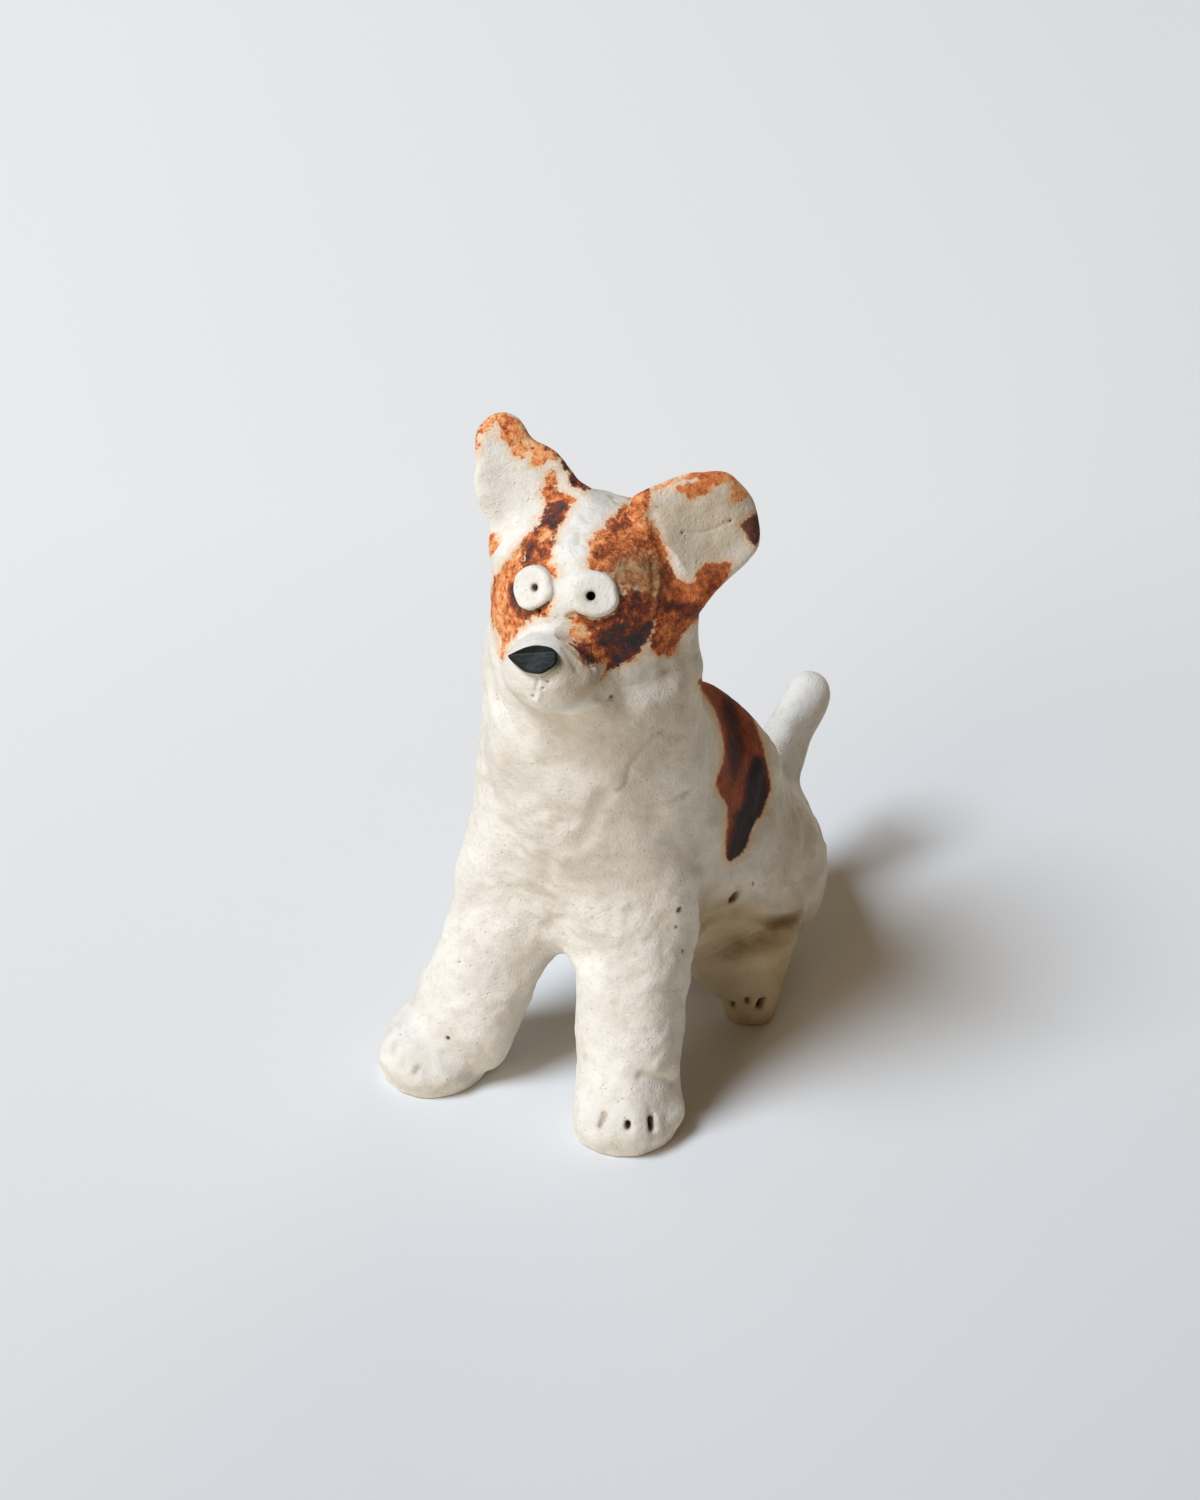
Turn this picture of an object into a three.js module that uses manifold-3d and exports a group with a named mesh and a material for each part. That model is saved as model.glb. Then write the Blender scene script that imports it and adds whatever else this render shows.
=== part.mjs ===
// A small hand-modelled stoneware dog, sitting with its head raised, as the separate rolls, balls and pads
// of clay that it is put together from. Millimetres, +Z up. It faces -Y, its left is +X, it sits on Z = 0.
import * as THREE from "three";
import { mergeVertices } from "three/addons/utils/BufferGeometryUtils.js";
import Module from "manifold-3d";

const wasm = await Module();
wasm.setup();

// The slip seam that is left between two pieces of clay.
const SEAM = 0.3;

// Torso: one thick roll that sits on its rump and is bent up into the neck. Each section has a full width
// and depth, and its centre is given by how far back it lies, and by how far up from the bench.
const RUMP = { wide: 27, deep: 26, back: 22, up: 12 };
const LOIN = { wide: 28, deep: 30.4, back: 13.6, up: 21 };
const BELLY = { wide: 28.5, deep: 38, back: 4.6, up: 29.4 };
const CHEST = { wide: 27.5, deep: 30.4, back: -4.8, up: 42.4 };
const THROAT = { wide: 26.8, deep: 25.6, back: -9.4, up: 54 };
const NECK = { wide: 26.6, deep: 24.6, back: -10.2, up: 64.5 };

// Head: a ball with a muzzle, a nose pad and two pierced eye pads.
const HEAD = { wide: 25, long: 24.6, high: 24.4, above: 7.8, forward: -1.2, yaw: 15, raised: 10, tilt: -4 };
const MUZZLE = { wide: 10, high: 10, long: 6, drop: 4.2, aside: 0.9, dome: 3.4 };
const MOUTH = { wide: 0.5, high: 3.2, deep: 0.9 };
const NOSE = { wide: 5.8, high: 4, thick: 2.6, rise: 2.5 };
const EYE = { wide: 5.6, thick: 2.6, apart: 7.4, rise: 4.6 };
const PUPIL = { wide: 1.25, deep: 1.5 };

// The ears are pinched slabs with a dished face, pressed onto the ball some degrees from its top. The right
// one stands up, the left one is spread sideways and swept back. A turn brings an edge of the slab forward.
const EAR = { thick: 3.4, dome: 3, sunk: 2.1 };
const EAR_RIGHT = {
  base: 13,
  middle: 12.2,
  tip: 7.4,
  long: 11.4,
  lean: 25,
  back: 0,
  turn: 0.35,
  from_top: 38,
  cup: 1.4,
};
const EAR_LEFT = {
  base: 14.5,
  middle: 14.4,
  tip: 10.6,
  long: 10,
  lean: 66,
  back: 0.7,
  turn: 0,
  from_top: 48,
  cup: 1.2,
};

// Each foreleg is a roll sunk into the side of the chest. Its end is pressed into a paw: an oval, flattened
// by the bench.
const FORELEG = { wide: 13.4, deep: 12.6, ahead: 0.12 };
const FORELEG_RIGHT = { up: 48, sunk: 4.4, paw_out: 6.8, paw_forward: 14.1, bow: 2.7, heel: 2.2 };
const FORELEG_LEFT = { up: 37, sunk: 7.55, paw_out: 4.2, paw_forward: 8.6, bow: 0.7, heel: 0.8 };
const PAW_RIGHT = { wide: 15.4, long: 14.6, high: 10.4, up: 2.6, toes_out: 28 };
const PAW_LEFT = { wide: 14.2, long: 12.6, high: 10.4, up: 2.6, toes_out: 35 };

// Hind legs: a thigh ball pressed onto each flank with its front end up, and a short roll from under it to a
// small paw.
const HAUNCH = { thick: 14.6, long: 24, high: 18.6, sunk: 5, back: 15.8, up: 19.8, tilt: 27 };
const HIND_LEG = { wide: 18.6, deep: 15, hip_back: 10.4, hip_up: 12, paw_out: 2.8, paw_back: 10.2 };
const HIND_PAW = { wide: 8.2, long: 8.4, high: 8, up: 2.4, toes_out: 45 };

// Three slits are pressed into each paw with the edge of a tool, spread over a share of its half width.
const TOE_SLIT = { wide: 0.8, high: 2, deep: 1, up: 2.6, spread: 0.42 };

// The tail leans back from upright, turned a little to the right.
const TAIL = { wide: 8, middle: 6.4, tip_wide: 4.8, long: 17.6, aside: 0.7, lean: 56.5, turn: -5 };

// Rings in a roll's domed end, and the share of its spine to either side that a section is set square to.
const DOME_RINGS = 5;
const CHORD = 0.14;

const v = (x, y, z) => new THREE.Vector3(x, y, z);
const radians = THREE.MathUtils.degToRad;
const BOTH_SIDES = [
  ["right", -1],
  ["left", 1],
];

// A ball of clay rolled out along a spine. Each station holds its centre and the full width and depth of the
// section there, the width along the side direction. Both ends are domed. A cup bends the two edges forward.
function roll(stations, shape) {
  const { side = v(1, 0, 0), startDome, endDome, around = 20, rings = 10, cup = 0, grow = 0 } = shape;
  const spine = new THREE.CatmullRomCurve3(stations.map((s) => s.at));
  const girth = new THREE.CatmullRomCurve3(stations.map((s) => v(s.wide / 2, s.deep / 2, 0)));
  const capsule = new THREE.CapsuleGeometry(1, 1, DOME_RINGS, around, rings);
  const position = capsule.attributes.position;
  for (let i = 0; i < position.count; i++) {
    const height = position.getY(i) + 0.5;
    const along = THREE.MathUtils.clamp(height, 0, 1);
    const beyond = height - along;
    const ahead = spine.getPoint(Math.min(1, along + CHORD));
    const tangent = ahead.sub(spine.getPoint(Math.max(0, along - CHORD))).normalize();
    const across = side.clone().addScaledVector(tangent, -side.dot(tangent)).normalize();
    const through = across.clone().cross(tangent);
    const size = girth.getPoint(along);
    const dome = (beyond < 0 ? startDome : endDome) + grow;
    const point = spine
      .getPoint(along)
      .addScaledVector(tangent, beyond * dome)
      .addScaledVector(across, position.getX(i) * (size.x + grow))
      .addScaledVector(through, position.getZ(i) * (size.y + grow) + cup * position.getX(i) ** 2);
    position.setXYZ(i, point.x, point.y, point.z);
  }
  return capsule;
}

// A ball of clay pressed to an oval, of full sizes x, y and z.
function ball(x, y, z, { around = 24, rings = 16, grow = 0 } = {}) {
  return new THREE.SphereGeometry(0.5, around, rings)
    .rotateX(Math.PI / 2)
    .scale(x + 2 * grow, y + 2 * grow, z + 2 * grow);
}

function solidOf(geometry) {
  const bare = geometry.clone();
  bare.deleteAttribute("normal");
  bare.deleteAttribute("uv");
  const merged = mergeVertices(bare, 1e-4);
  return new wasm.Manifold(
    new wasm.Mesh({
      numProp: 3,
      vertProperties: merged.attributes.position.array,
      triVerts: new Uint32Array(merged.index.array),
    }),
  );
}

function geometryOf(solid) {
  const mesh = solid.getMesh();
  const geometry = new THREE.BufferGeometry();
  geometry.setAttribute("position", new THREE.BufferAttribute(new Float32Array(mesh.vertProperties), 3));
  geometry.setIndex(new THREE.BufferAttribute(new Uint32Array(mesh.triVerts), 1));
  geometry.computeVertexNormals();
  return geometry;
}

// The bench that the wet clay is set down on: cutting with it leaves a flat sole at Z = 0.
const bench = solidOf(new THREE.BoxGeometry(400, 400, 100).translate(0, 0, -50));

const clay = new THREE.MeshStandardMaterial({ color: 0xd9d4c8, roughness: 0.9, metalness: 0 });
const rust = new THREE.MeshStandardMaterial({ color: 0xb5562a, roughness: 0.7, metalness: 0 });
const glaze = new THREE.MeshStandardMaterial({ color: 0x2b302f, roughness: 0.25, metalness: 0 });

const figure = new THREE.Group();

function add(parent, name, solid, material) {
  const mesh = new THREE.Mesh(geometryOf(solid), material);
  mesh.name = name;
  parent.add(mesh);
  return mesh;
}

// The torso, and the head on top of it.
const torsoStations = [RUMP, LOIN, BELLY, CHEST, THROAT, NECK].map((size) => ({
  at: v(0, size.back, size.up),
  wide: size.wide,
  deep: size.deep,
}));
const torsoRoll = (grow = 0) =>
  roll(torsoStations, { startDome: RUMP.deep / 2, endDome: 4, around: 32, rings: 16, grow });
const torsoGrown = solidOf(torsoRoll(SEAM));

const headGroup = new THREE.Group();
headGroup.position.set(0, NECK.back - HEAD.forward, NECK.up + HEAD.above);
headGroup.rotation.set(radians(-HEAD.raised), radians(HEAD.tilt), radians(HEAD.yaw), "ZXY");
headGroup.updateMatrix();
figure.add(headGroup);
const skullBall = (grow = 0) => ball(HEAD.wide, HEAD.long, HEAD.high, { around: 28, rings: 20, grow });
const skullGrown = solidOf(skullBall(SEAM));
const neckInHead = solidOf(torsoRoll(SEAM).applyMatrix4(headGroup.matrix.clone().invert()));
add(headGroup, "head", solidOf(skullBall()), rust);
const headSocket = solidOf(skullBall(SEAM).applyMatrix4(headGroup.matrix));
add(figure, "torso", solidOf(torsoRoll()).subtract(headSocket).subtract(bench), clay);

const muzzleTip = v(-MUZZLE.aside, -HEAD.long / 2 - MUZZLE.long, -MUZZLE.drop);
const muzzleStations = [
  { at: v(0, -HEAD.long / 5, -MUZZLE.drop), wide: MUZZLE.wide * 1.3, deep: MUZZLE.high },
  { at: muzzleTip.clone().add(v(0, MUZZLE.dome, 0)), wide: MUZZLE.wide, deep: MUZZLE.high * 0.85 },
];
const muzzleRoll = (grow = 0) =>
  roll(muzzleStations, { startDome: 1, endDome: MUZZLE.dome, around: 20, rings: 5, grow });
const muzzleGrown = solidOf(muzzleRoll(SEAM));
const mouthCut = new THREE.BoxGeometry(MOUTH.wide, 2 * MOUTH.deep, MOUTH.high);
mouthCut.translate(muzzleTip.x, muzzleTip.y + MOUTH.deep / 2, muzzleTip.z - 1);
const muzzle = solidOf(muzzleRoll()).subtract(skullGrown).subtract(neckInHead);
add(headGroup, "muzzle", muzzle.subtract(solidOf(mouthCut)), clay);

const nose = ball(NOSE.wide, NOSE.thick, NOSE.high, { around: 16, rings: 10 });
nose.translate(muzzleTip.x, muzzleTip.y + NOSE.thick / 4, muzzleTip.z + NOSE.rise);
add(headGroup, "nose_pad", solidOf(nose).subtract(muzzleGrown), glaze);

for (const [name, hand] of BOTH_SIDES) {
  const x = (hand * EYE.apart) / 2;
  const z = EYE.rise;
  const y = -(HEAD.long / 2) * Math.sqrt(1 - ((2 * x) / HEAD.wide) ** 2 - ((2 * z) / HEAD.high) ** 2);
  const out = v(x / HEAD.wide ** 2, y / HEAD.long ** 2, z / HEAD.high ** 2).normalize();
  const turn = new THREE.Quaternion().setFromUnitVectors(v(0, 0, 1), out);
  const onSkull = (geometry) => solidOf(geometry.applyQuaternion(turn).translate(x, y, z));
  const hole = new THREE.CylinderGeometry(PUPIL.wide / 2, PUPIL.wide / 2, 2 * PUPIL.deep, 10);
  const pupil = onSkull(hole.rotateX(Math.PI / 2).translate(0, 0, EYE.thick / 2));
  const pad = onSkull(ball(EYE.wide, EYE.wide, EYE.thick, { around: 18, rings: 10 }));
  const eye = pad.subtract(skullGrown).subtract(muzzleGrown).subtract(pupil);
  add(headGroup, "eye_" + name, eye, clay);
}

for (const [name, hand] of BOTH_SIDES) {
  const ear = hand < 0 ? EAR_RIGHT : EAR_LEFT;
  const lean = radians(ear.lean);
  const along = v(hand * Math.sin(lean), ear.back, Math.cos(lean)).normalize();
  const side = v(Math.cos(lean), -hand * ear.turn, -hand * Math.sin(lean));
  const around = hand * radians(ear.from_top);
  const reach = HEAD.high / 2 - EAR.sunk;
  const base = v(Math.sin(around) * reach, -0.5, Math.cos(around) * reach);
  const stations = [
    { at: base, wide: ear.base, deep: EAR.thick * 1.2 },
    { at: base.clone().addScaledVector(along, ear.long * 0.55), wide: ear.middle, deep: EAR.thick },
    { at: base.clone().addScaledVector(along, ear.long), wide: ear.tip, deep: EAR.thick * 0.8 },
  ];
  const slab = roll(stations, { side, startDome: 1, endDome: EAR.dome, around: 20, rings: 8, cup: ear.cup });
  add(headGroup, "ear_" + name, solidOf(slab).subtract(skullGrown), clay);
}

// A roll's end pressed into a paw over a point of the bench: an oval with its toes turned out, and the three
// slits across its front.
function pawOf(at, hand, size) {
  const turn = hand * radians(size.toes_out);
  const pad = ball(size.wide, size.long, size.high, { around: 22, rings: 14 });
  const place = (geometry) => solidOf(geometry.rotateZ(turn).translate(at.x, at.y, 0));
  const slit = [-1, 0, 1].map((k) => {
    const shift = k * TOE_SLIT.spread;
    const rise = (2 * (TOE_SLIT.up - size.up)) / size.high;
    const front = (size.long / 2) * Math.sqrt(1 - shift ** 2 - rise ** 2);
    const box = new THREE.BoxGeometry((TOE_SLIT.wide * size.wide) / 14, 2 * TOE_SLIT.deep, TOE_SLIT.high);
    return place(box.translate((shift * size.wide) / 2, -front, TOE_SLIT.up));
  });
  return { pad: place(pad.translate(0, 0, size.up)), slits: slit[0].add(slit[1]).add(slit[2]) };
}

for (const [name, hand] of BOTH_SIDES) {
  const size = hand < 0 ? FORELEG_RIGHT : FORELEG_LEFT;
  const shoulder = v(hand * (CHEST.wide / 2 - size.sunk), CHEST.back - CHEST.deep * FORELEG.ahead, size.up);
  const pawAt = shoulder.clone().add(v(hand * size.paw_out, -size.paw_forward, 0)).setZ(0);
  const paw = pawOf(pawAt, hand, hand < 0 ? PAW_RIGHT : PAW_LEFT);
  const bend = shoulder.clone().lerp(pawAt, 0.5).add(v(-hand * size.bow, size.bow, 0));
  const ankle = pawAt.clone().add(v(-hand * size.heel, size.heel, 4));
  const stations = [
    { at: shoulder, wide: FORELEG.wide * 0.94, deep: FORELEG.deep * 0.9 },
    { at: bend, wide: FORELEG.wide, deep: FORELEG.deep },
    { at: ankle, wide: FORELEG.wide, deep: FORELEG.deep * 0.9 },
  ];
  const leg = solidOf(roll(stations, { startDome: 3, endDome: 3, around: 20, rings: 12 })).add(paw.pad);
  add(figure, "foreleg_" + name, leg.subtract(torsoGrown).subtract(bench).subtract(paw.slits), clay);
}

for (const [name, hand] of BOTH_SIDES) {
  const flank = hand * (LOIN.wide / 2 - HAUNCH.sunk);
  const haunchBall = (grow = 0) =>
    ball(HAUNCH.thick, HAUNCH.long, HAUNCH.high, { around: 22, rings: 14, grow })
      .rotateX(-radians(HAUNCH.tilt))
      .translate(flank, HAUNCH.back, HAUNCH.up);
  add(figure, "haunch_" + name, solidOf(haunchBall()).subtract(torsoGrown), clay);
  const pawAt = v(flank + hand * HIND_LEG.paw_out, HIND_LEG.paw_back, 0);
  const paw = pawOf(pawAt, hand, HIND_PAW);
  const hip = v(flank * 0.92, HIND_LEG.hip_back, HIND_LEG.hip_up);
  const stations = [
    { at: hip, wide: HIND_LEG.wide, deep: HIND_LEG.deep },
    { at: pawAt.clone().setZ(HIND_PAW.up), wide: HIND_PAW.wide * 0.9, deep: HIND_PAW.high },
  ];
  const leg = solidOf(roll(stations, { startDome: 2, endDome: 2, around: 18, rings: 5 })).add(paw.pad);
  const under = leg.subtract(solidOf(haunchBall(SEAM))).subtract(torsoGrown).subtract(bench);
  add(figure, "hind_leg_" + name, under.subtract(paw.slits), clay);
}

const tailWay = new THREE.Vector3().setFromSphericalCoords(1, radians(TAIL.lean), radians(TAIL.turn));
tailWay.set(tailWay.x, tailWay.z, tailWay.y);
const tailRoot = v(TAIL.aside, RUMP.back + RUMP.deep * 0.3, RUMP.up + RUMP.deep * 0.3);
const tailBend = tailRoot.clone().addScaledVector(tailWay, TAIL.long / 2);
const tailTip = tailRoot.clone().addScaledVector(tailWay, TAIL.long - TAIL.tip_wide / 2);
const tailStations = [
  { at: tailRoot, wide: TAIL.wide, deep: TAIL.wide },
  { at: tailBend, wide: TAIL.middle, deep: TAIL.middle },
  { at: tailTip, wide: TAIL.tip_wide, deep: TAIL.tip_wide },
];
const tail = roll(tailStations, { startDome: 2, endDome: TAIL.tip_wide / 2, around: 14, rings: 8 });
add(figure, "tail", solidOf(tail).subtract(torsoGrown), clay);

// The origin is under the middle of the whole figure's box.
const box = new THREE.Box3().setFromObject(figure, true);
figure.position.set(-(box.min.x + box.max.x) / 2, -(box.min.y + box.max.y) / 2, 0);

export default figure;
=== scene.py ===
import math

import bpy
import numpy as np
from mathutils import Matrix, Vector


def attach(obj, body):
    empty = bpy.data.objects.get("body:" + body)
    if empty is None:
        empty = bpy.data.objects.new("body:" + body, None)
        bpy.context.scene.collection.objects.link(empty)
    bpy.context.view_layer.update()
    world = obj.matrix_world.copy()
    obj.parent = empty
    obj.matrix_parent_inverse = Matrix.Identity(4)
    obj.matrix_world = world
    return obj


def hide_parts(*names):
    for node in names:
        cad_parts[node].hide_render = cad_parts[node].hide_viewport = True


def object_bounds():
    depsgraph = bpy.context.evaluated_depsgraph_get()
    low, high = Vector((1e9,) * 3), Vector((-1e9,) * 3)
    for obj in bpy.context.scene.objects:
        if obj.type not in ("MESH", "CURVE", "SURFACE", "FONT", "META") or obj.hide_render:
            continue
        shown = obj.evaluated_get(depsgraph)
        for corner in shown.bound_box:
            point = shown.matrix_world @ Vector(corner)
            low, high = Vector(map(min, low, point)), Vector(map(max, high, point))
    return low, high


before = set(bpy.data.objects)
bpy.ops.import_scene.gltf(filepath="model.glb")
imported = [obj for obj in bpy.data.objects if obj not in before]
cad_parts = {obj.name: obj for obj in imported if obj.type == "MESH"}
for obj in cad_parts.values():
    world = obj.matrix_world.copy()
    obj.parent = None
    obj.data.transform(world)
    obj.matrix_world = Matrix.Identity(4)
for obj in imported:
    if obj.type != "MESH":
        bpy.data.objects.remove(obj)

import openvdb
from mathutils import Matrix, Vector

# A small hand-modelled stoneware dog. What the CAD gives in metres is turned to millimetres, and back to
# metres when a mesh is made.
CAD_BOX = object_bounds()
MM = 0.001

# The photograph's camera: the way to it, how far it is, its focal length in pixels of the 1200 by 1500
# picture, and the point that it looks at.
PHOTO_WIDE, PHOTO_HIGH = 1200, 1500
AZIMUTH, ELEVATION = math.radians(35), math.radians(36)
DISTANCE = 420.0
FOCAL_PX = 3333.0
AIM = np.array([-2.26, -7.47, 42.0])
TOWARD = np.array([
    math.sin(AZIMUTH) * math.cos(ELEVATION),
    -math.cos(AZIMUTH) * math.cos(ELEVATION),
    math.sin(ELEVATION),
])
RIGHTWARD = np.array([math.cos(AZIMUTH), math.sin(AZIMUTH), 0.0])
UPWARD = np.cross(TOWARD, RIGHTWARD)
EYE_POINT = AIM + TOWARD * DISTANCE

# The clay's fields are kept on a grid with this step, each known up to this many cells from its surface,
# and the grid has this much room round the figure.
STEP = 0.5
REACH_CELLS = 14
MARGIN = 4.0

# A solid's point lower than this is on the bench.
BENCH_SKIN = 0.002

# How many times each kind of piece's field is blurred, which smooths the solid's facets away.
SMOOTH_TORSO, SMOOTH_HEAD, SMOOTH_LIMB, SMOOTH_THIN = 12, 10, 5, 3

# Smoothing eats at thin lumps, so they are grown back by this much.
REGROWN = {
    "torso": 0.3,
    "ear_right": 0.1,
    "ear_left": 0.35,
    "tail": 0.55,
    "muzzle": 0.5,
    "hind_leg_left": 0.1,
    "foreleg_left": 0.4,
    "foreleg_right": 0.3,
}

# How softly each lump of clay was smeared into what carries it.
SMEARED = {
    "foreleg_right": 6.0,
    "foreleg_left": 5.0,
    "haunch_right": 4.0,
    "haunch_left": 3.0,
    "hind_leg_right": 3.0,
    "hind_leg_left": 2.5,
    "tail": 3.5,
    "muzzle": 2.0,
    "ear_right": 3.5,
    "ear_left": 3.0,
}
NECK_SMEAR = 4.5

# Each piece ends this far under its neighbour, sloping down from the shared surface at the first rate,
# and then falling away at the second.
TUCK = 0.5
TUCK_SLOPE = 0.2
TUCK_FALL = 0.8


def pixels(*points):
    """Places in the photograph."""
    return np.array(points, float)


def photo_rays(points):
    """Unit directions from the camera through pixels of the photograph."""
    points = np.atleast_2d(np.asarray(points, float))
    ways = (
        -TOWARD * FOCAL_PX
        + np.outer(points[:, 0] - PHOTO_WIDE / 2, RIGHTWARD)
        + np.outer(PHOTO_HIGH / 2 - points[:, 1], UPWARD)
    )
    return ways / np.linalg.norm(ways, axis=1, keepdims=True)


def photo_pixels(points):
    """Where points of the figure lie in the photograph."""
    q = points - AIM
    scale = FOCAL_PX / (DISTANCE - q @ TOWARD)
    across, down = scale * (q @ RIGHTWARD), -scale * (q @ UPWARD)
    return np.stack([PHOTO_WIDE / 2 + across, PHOTO_HIGH / 2 + down], axis=1)


# The grid that holds the clay's fields.
box_low = np.array(CAD_BOX[0]) / MM - MARGIN
box_high = np.array(CAD_BOX[1]) / MM + MARGIN
first_cell = np.floor(box_low / STEP).astype(int)
cells = np.ceil(box_high / STEP).astype(int) - first_cell + 1
grid_low = first_cell * STEP


def smooth(field, passes):
    """Blurs a field along each axis in turn."""
    for _ in range(passes):
        for axis in range(3):
            f = np.moveaxis(field, axis, 0)
            middle = 0.25 * f[:-2] + 0.5 * f[1:-1] + 0.25 * f[2:]
            f[1:-1] = middle
    return field


def solid_field(name, passes):
    """Distance to a CAD node's surface, negative inside. What the bench cuts off is carried on below it."""
    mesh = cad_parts[name].data
    points = np.empty(3 * len(mesh.vertices), np.float32)
    mesh.vertices.foreach_get("co", points)
    points = points.reshape(-1, 3) / MM
    mesh.calc_loop_triangles()
    faces = np.empty(3 * len(mesh.loop_triangles), np.int32)
    mesh.loop_triangles.foreach_get("vertices", faces)
    faces = faces.reshape(-1, 3)
    on_bench = np.all(points[faces][:, :, 2] < BENCH_SKIN, axis=1)
    if on_bench.any():
        faces = faces[~on_bench]
        mirrored = points * (1, 1, -1)
        faces = np.concatenate([faces, faces[:, ::-1] + len(points)])
        points = np.concatenate([points, mirrored])
    level_set = openvdb.FloatGrid.createLevelSetFromPolygons(
        points.astype(np.float32),
        triangles=faces.astype(np.uint32),
        transform=openvdb.createLinearTransform(voxelSize=STEP),
        halfWidth=REACH_CELLS,
    )
    field = np.zeros(tuple(cells), np.float32)
    level_set.copyToArray(field, ijk=tuple(int(c) for c in first_cell))
    return smooth(field, passes) - REGROWN.get(name, 0)


def meld(a, b, soft):
    """Two fields joined, with the crease between them filled over a width."""
    h = np.clip(0.5 + 0.5 * (b - a) / soft, 0, 1)
    return b + (a - b) * h - soft * h * (1 - h)


def smoothing_of(name):
    """How many times a piece's field is blurred."""
    if name == "torso":
        return SMOOTH_TORSO
    if name == "head":
        return SMOOTH_HEAD
    if name.startswith(("ear", "hind")) or name in ("tail", "muzzle"):
        return SMOOTH_THIN
    return SMOOTH_LIMB


PADS = ("eye_right", "eye_left", "nose_pad")
lumps_of_clay = [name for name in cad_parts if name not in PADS]
fields = {name: solid_field(name, smoothing_of(name)) for name in lumps_of_clay}

body = fields["torso"]
limbs = [limb + side for limb in ("foreleg", "haunch", "hind_leg") for side in ("_right", "_left")]
for name in (*limbs, "tail"):
    body = meld(body, fields[name], SMEARED[name])
face = fields["head"]
for name in ("muzzle", "ear_right", "ear_left"):
    face = meld(face, fields[name], SMEARED[name])
figure = meld(body, face, NECK_SMEAR)

# Which piece each cell of the grid belongs to, and how far the two nearest pieces are from it.
stack = np.stack([fields[n] for n in lumps_of_clay])
order = np.argsort(stack, axis=0)[:2]
nearest = np.take_along_axis(stack, order[:1], axis=0)[0]
second = np.take_along_axis(stack, order[1:2], axis=0)[0]
owner = order[0]
del stack, order


def spline_weights(low, step, count, positions):
    """Rows that turn samples on a coarse line into a smooth curve's values at the given positions."""
    t = (np.asarray(positions) - low) / step
    base = np.clip(np.floor(t).astype(int), 1, count - 3)
    t = t - base
    rows = np.zeros((len(positions), count), np.float32)
    at = np.arange(len(positions))
    rows[at, base - 1] = (1 - t) ** 3 / 6
    rows[at, base] = (3 * t**3 - 6 * t**2 + 4) / 6
    rows[at, base + 1] = (-3 * t**3 + 3 * t**2 + 3 * t + 1) / 6
    rows[at, base + 2] = t**3 / 6
    return rows


def refine(field, low, step, axes):
    """A coarse field read on the fine grid that the three axes span."""
    out = field
    for k in range(3):
        rows = spline_weights(low[k], step, field.shape[k], axes[k])
        used = np.flatnonzero(rows.any(axis=0))
        span = slice(used[0], used[-1] + 1)
        out = np.moveaxis(out, 0, -1)[..., span] @ rows[:, span].T
    return out


def sample(field, low, step, points):
    """A field's values at loose points, straight between its samples."""
    t = (points - low) / step
    base = np.clip(np.floor(t).astype(int), 0, np.array(field.shape) - 2)
    t = t - base
    value = 0.0
    for corner in np.ndindex(2, 2, 2):
        weight = np.prod(np.where(corner, t, 1 - t), axis=1)
        i, j, k = (base + corner).T
        value = value + weight * field[i, j, k]
    return value


def slope(field, low, step, points, reach):
    """The outward unit direction of a field at loose points."""
    ways = np.zeros_like(points)
    for k in range(3):
        shift = np.zeros(3)
        shift[k] = reach
        ways[:, k] = sample(field, low, step, points + shift) - sample(field, low, step, points - shift)
    return ways / np.maximum(np.linalg.norm(ways, axis=1, keepdims=True), 1e-9)


# A ray from the camera starts this far before the point that the camera looks at, and takes this many
# steps.
RAY_START, RAY_STEPS = 75.0, 60


def on_clay(points):
    """The places on the clay that pixels of the photograph show."""
    ways = photo_rays(points)
    travel = np.full(len(ways), DISTANCE - RAY_START)
    for _ in range(RAY_STEPS):
        at = EYE_POINT + ways * travel[:, None]
        travel += np.maximum(sample(figure, grid_low, STEP, at), -0.5)
    return EYE_POINT + ways * travel[:, None]


def outward(points):
    """The clay's outward direction near each place."""
    return slope(figure, grid_low, STEP, points, STEP)


def smooth_loop(points, between=6):
    """A closed curve through the points."""
    n = len(points)
    t = np.arange(between)[:, None] / between
    curve = []
    for i in range(n):
        a, b, c, d = (points[(i + k) % n] for k in (-1, 0, 1, 2))
        bend, twist = 2 * a - 5 * b + 4 * c - d, 3 * b - a - 3 * c + d
        curve.append(0.5 * (2 * b + (c - a) * t + bend * t**2 + twist * t**3))
    return np.concatenate(curve)


def loop_distance(x, y, loop):
    """Distance from points to a closed outline, negative inside it."""
    best = np.full(np.shape(x), np.inf, np.float32)
    inside = np.zeros(np.shape(x), bool)
    for (ax, ay), (bx, by) in zip(loop, np.roll(loop, -1, axis=0)):
        dx, dy = bx - ax, by - ay
        t = np.clip(((x - ax) * dx + (y - ay) * dy) / max(dx * dx + dy * dy, 1e-12), 0, 1)
        best = np.minimum(best, (x - ax - t * dx) ** 2 + (y - ay - t * dy) ** 2)
        crossed = ((ay > y) != (by > y)) & (x < ax + (y - ay) / (dy if abs(dy) > 1e-12 else 1e-12) * dx)
        inside ^= crossed
    return np.where(inside, -np.sqrt(best), np.sqrt(best))


def path_distance(x, y, z, path):
    """Distance from points to an open line of points."""
    best = np.inf
    for a, b in zip(path[:-1], path[1:]):
        way = b - a
        t = ((x - a[0]) * way[0] + (y - a[1]) * way[1] + (z - a[2]) * way[2]) / max(way @ way, 1e-9)
        t = np.clip(t, 0, 1)
        gap = (x - a[0] - t * way[0]) ** 2 + (y - a[1] - t * way[1]) ** 2 + (z - a[2] - t * way[2]) ** 2
        best = np.minimum(best, gap)
    return np.sqrt(best)


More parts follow.
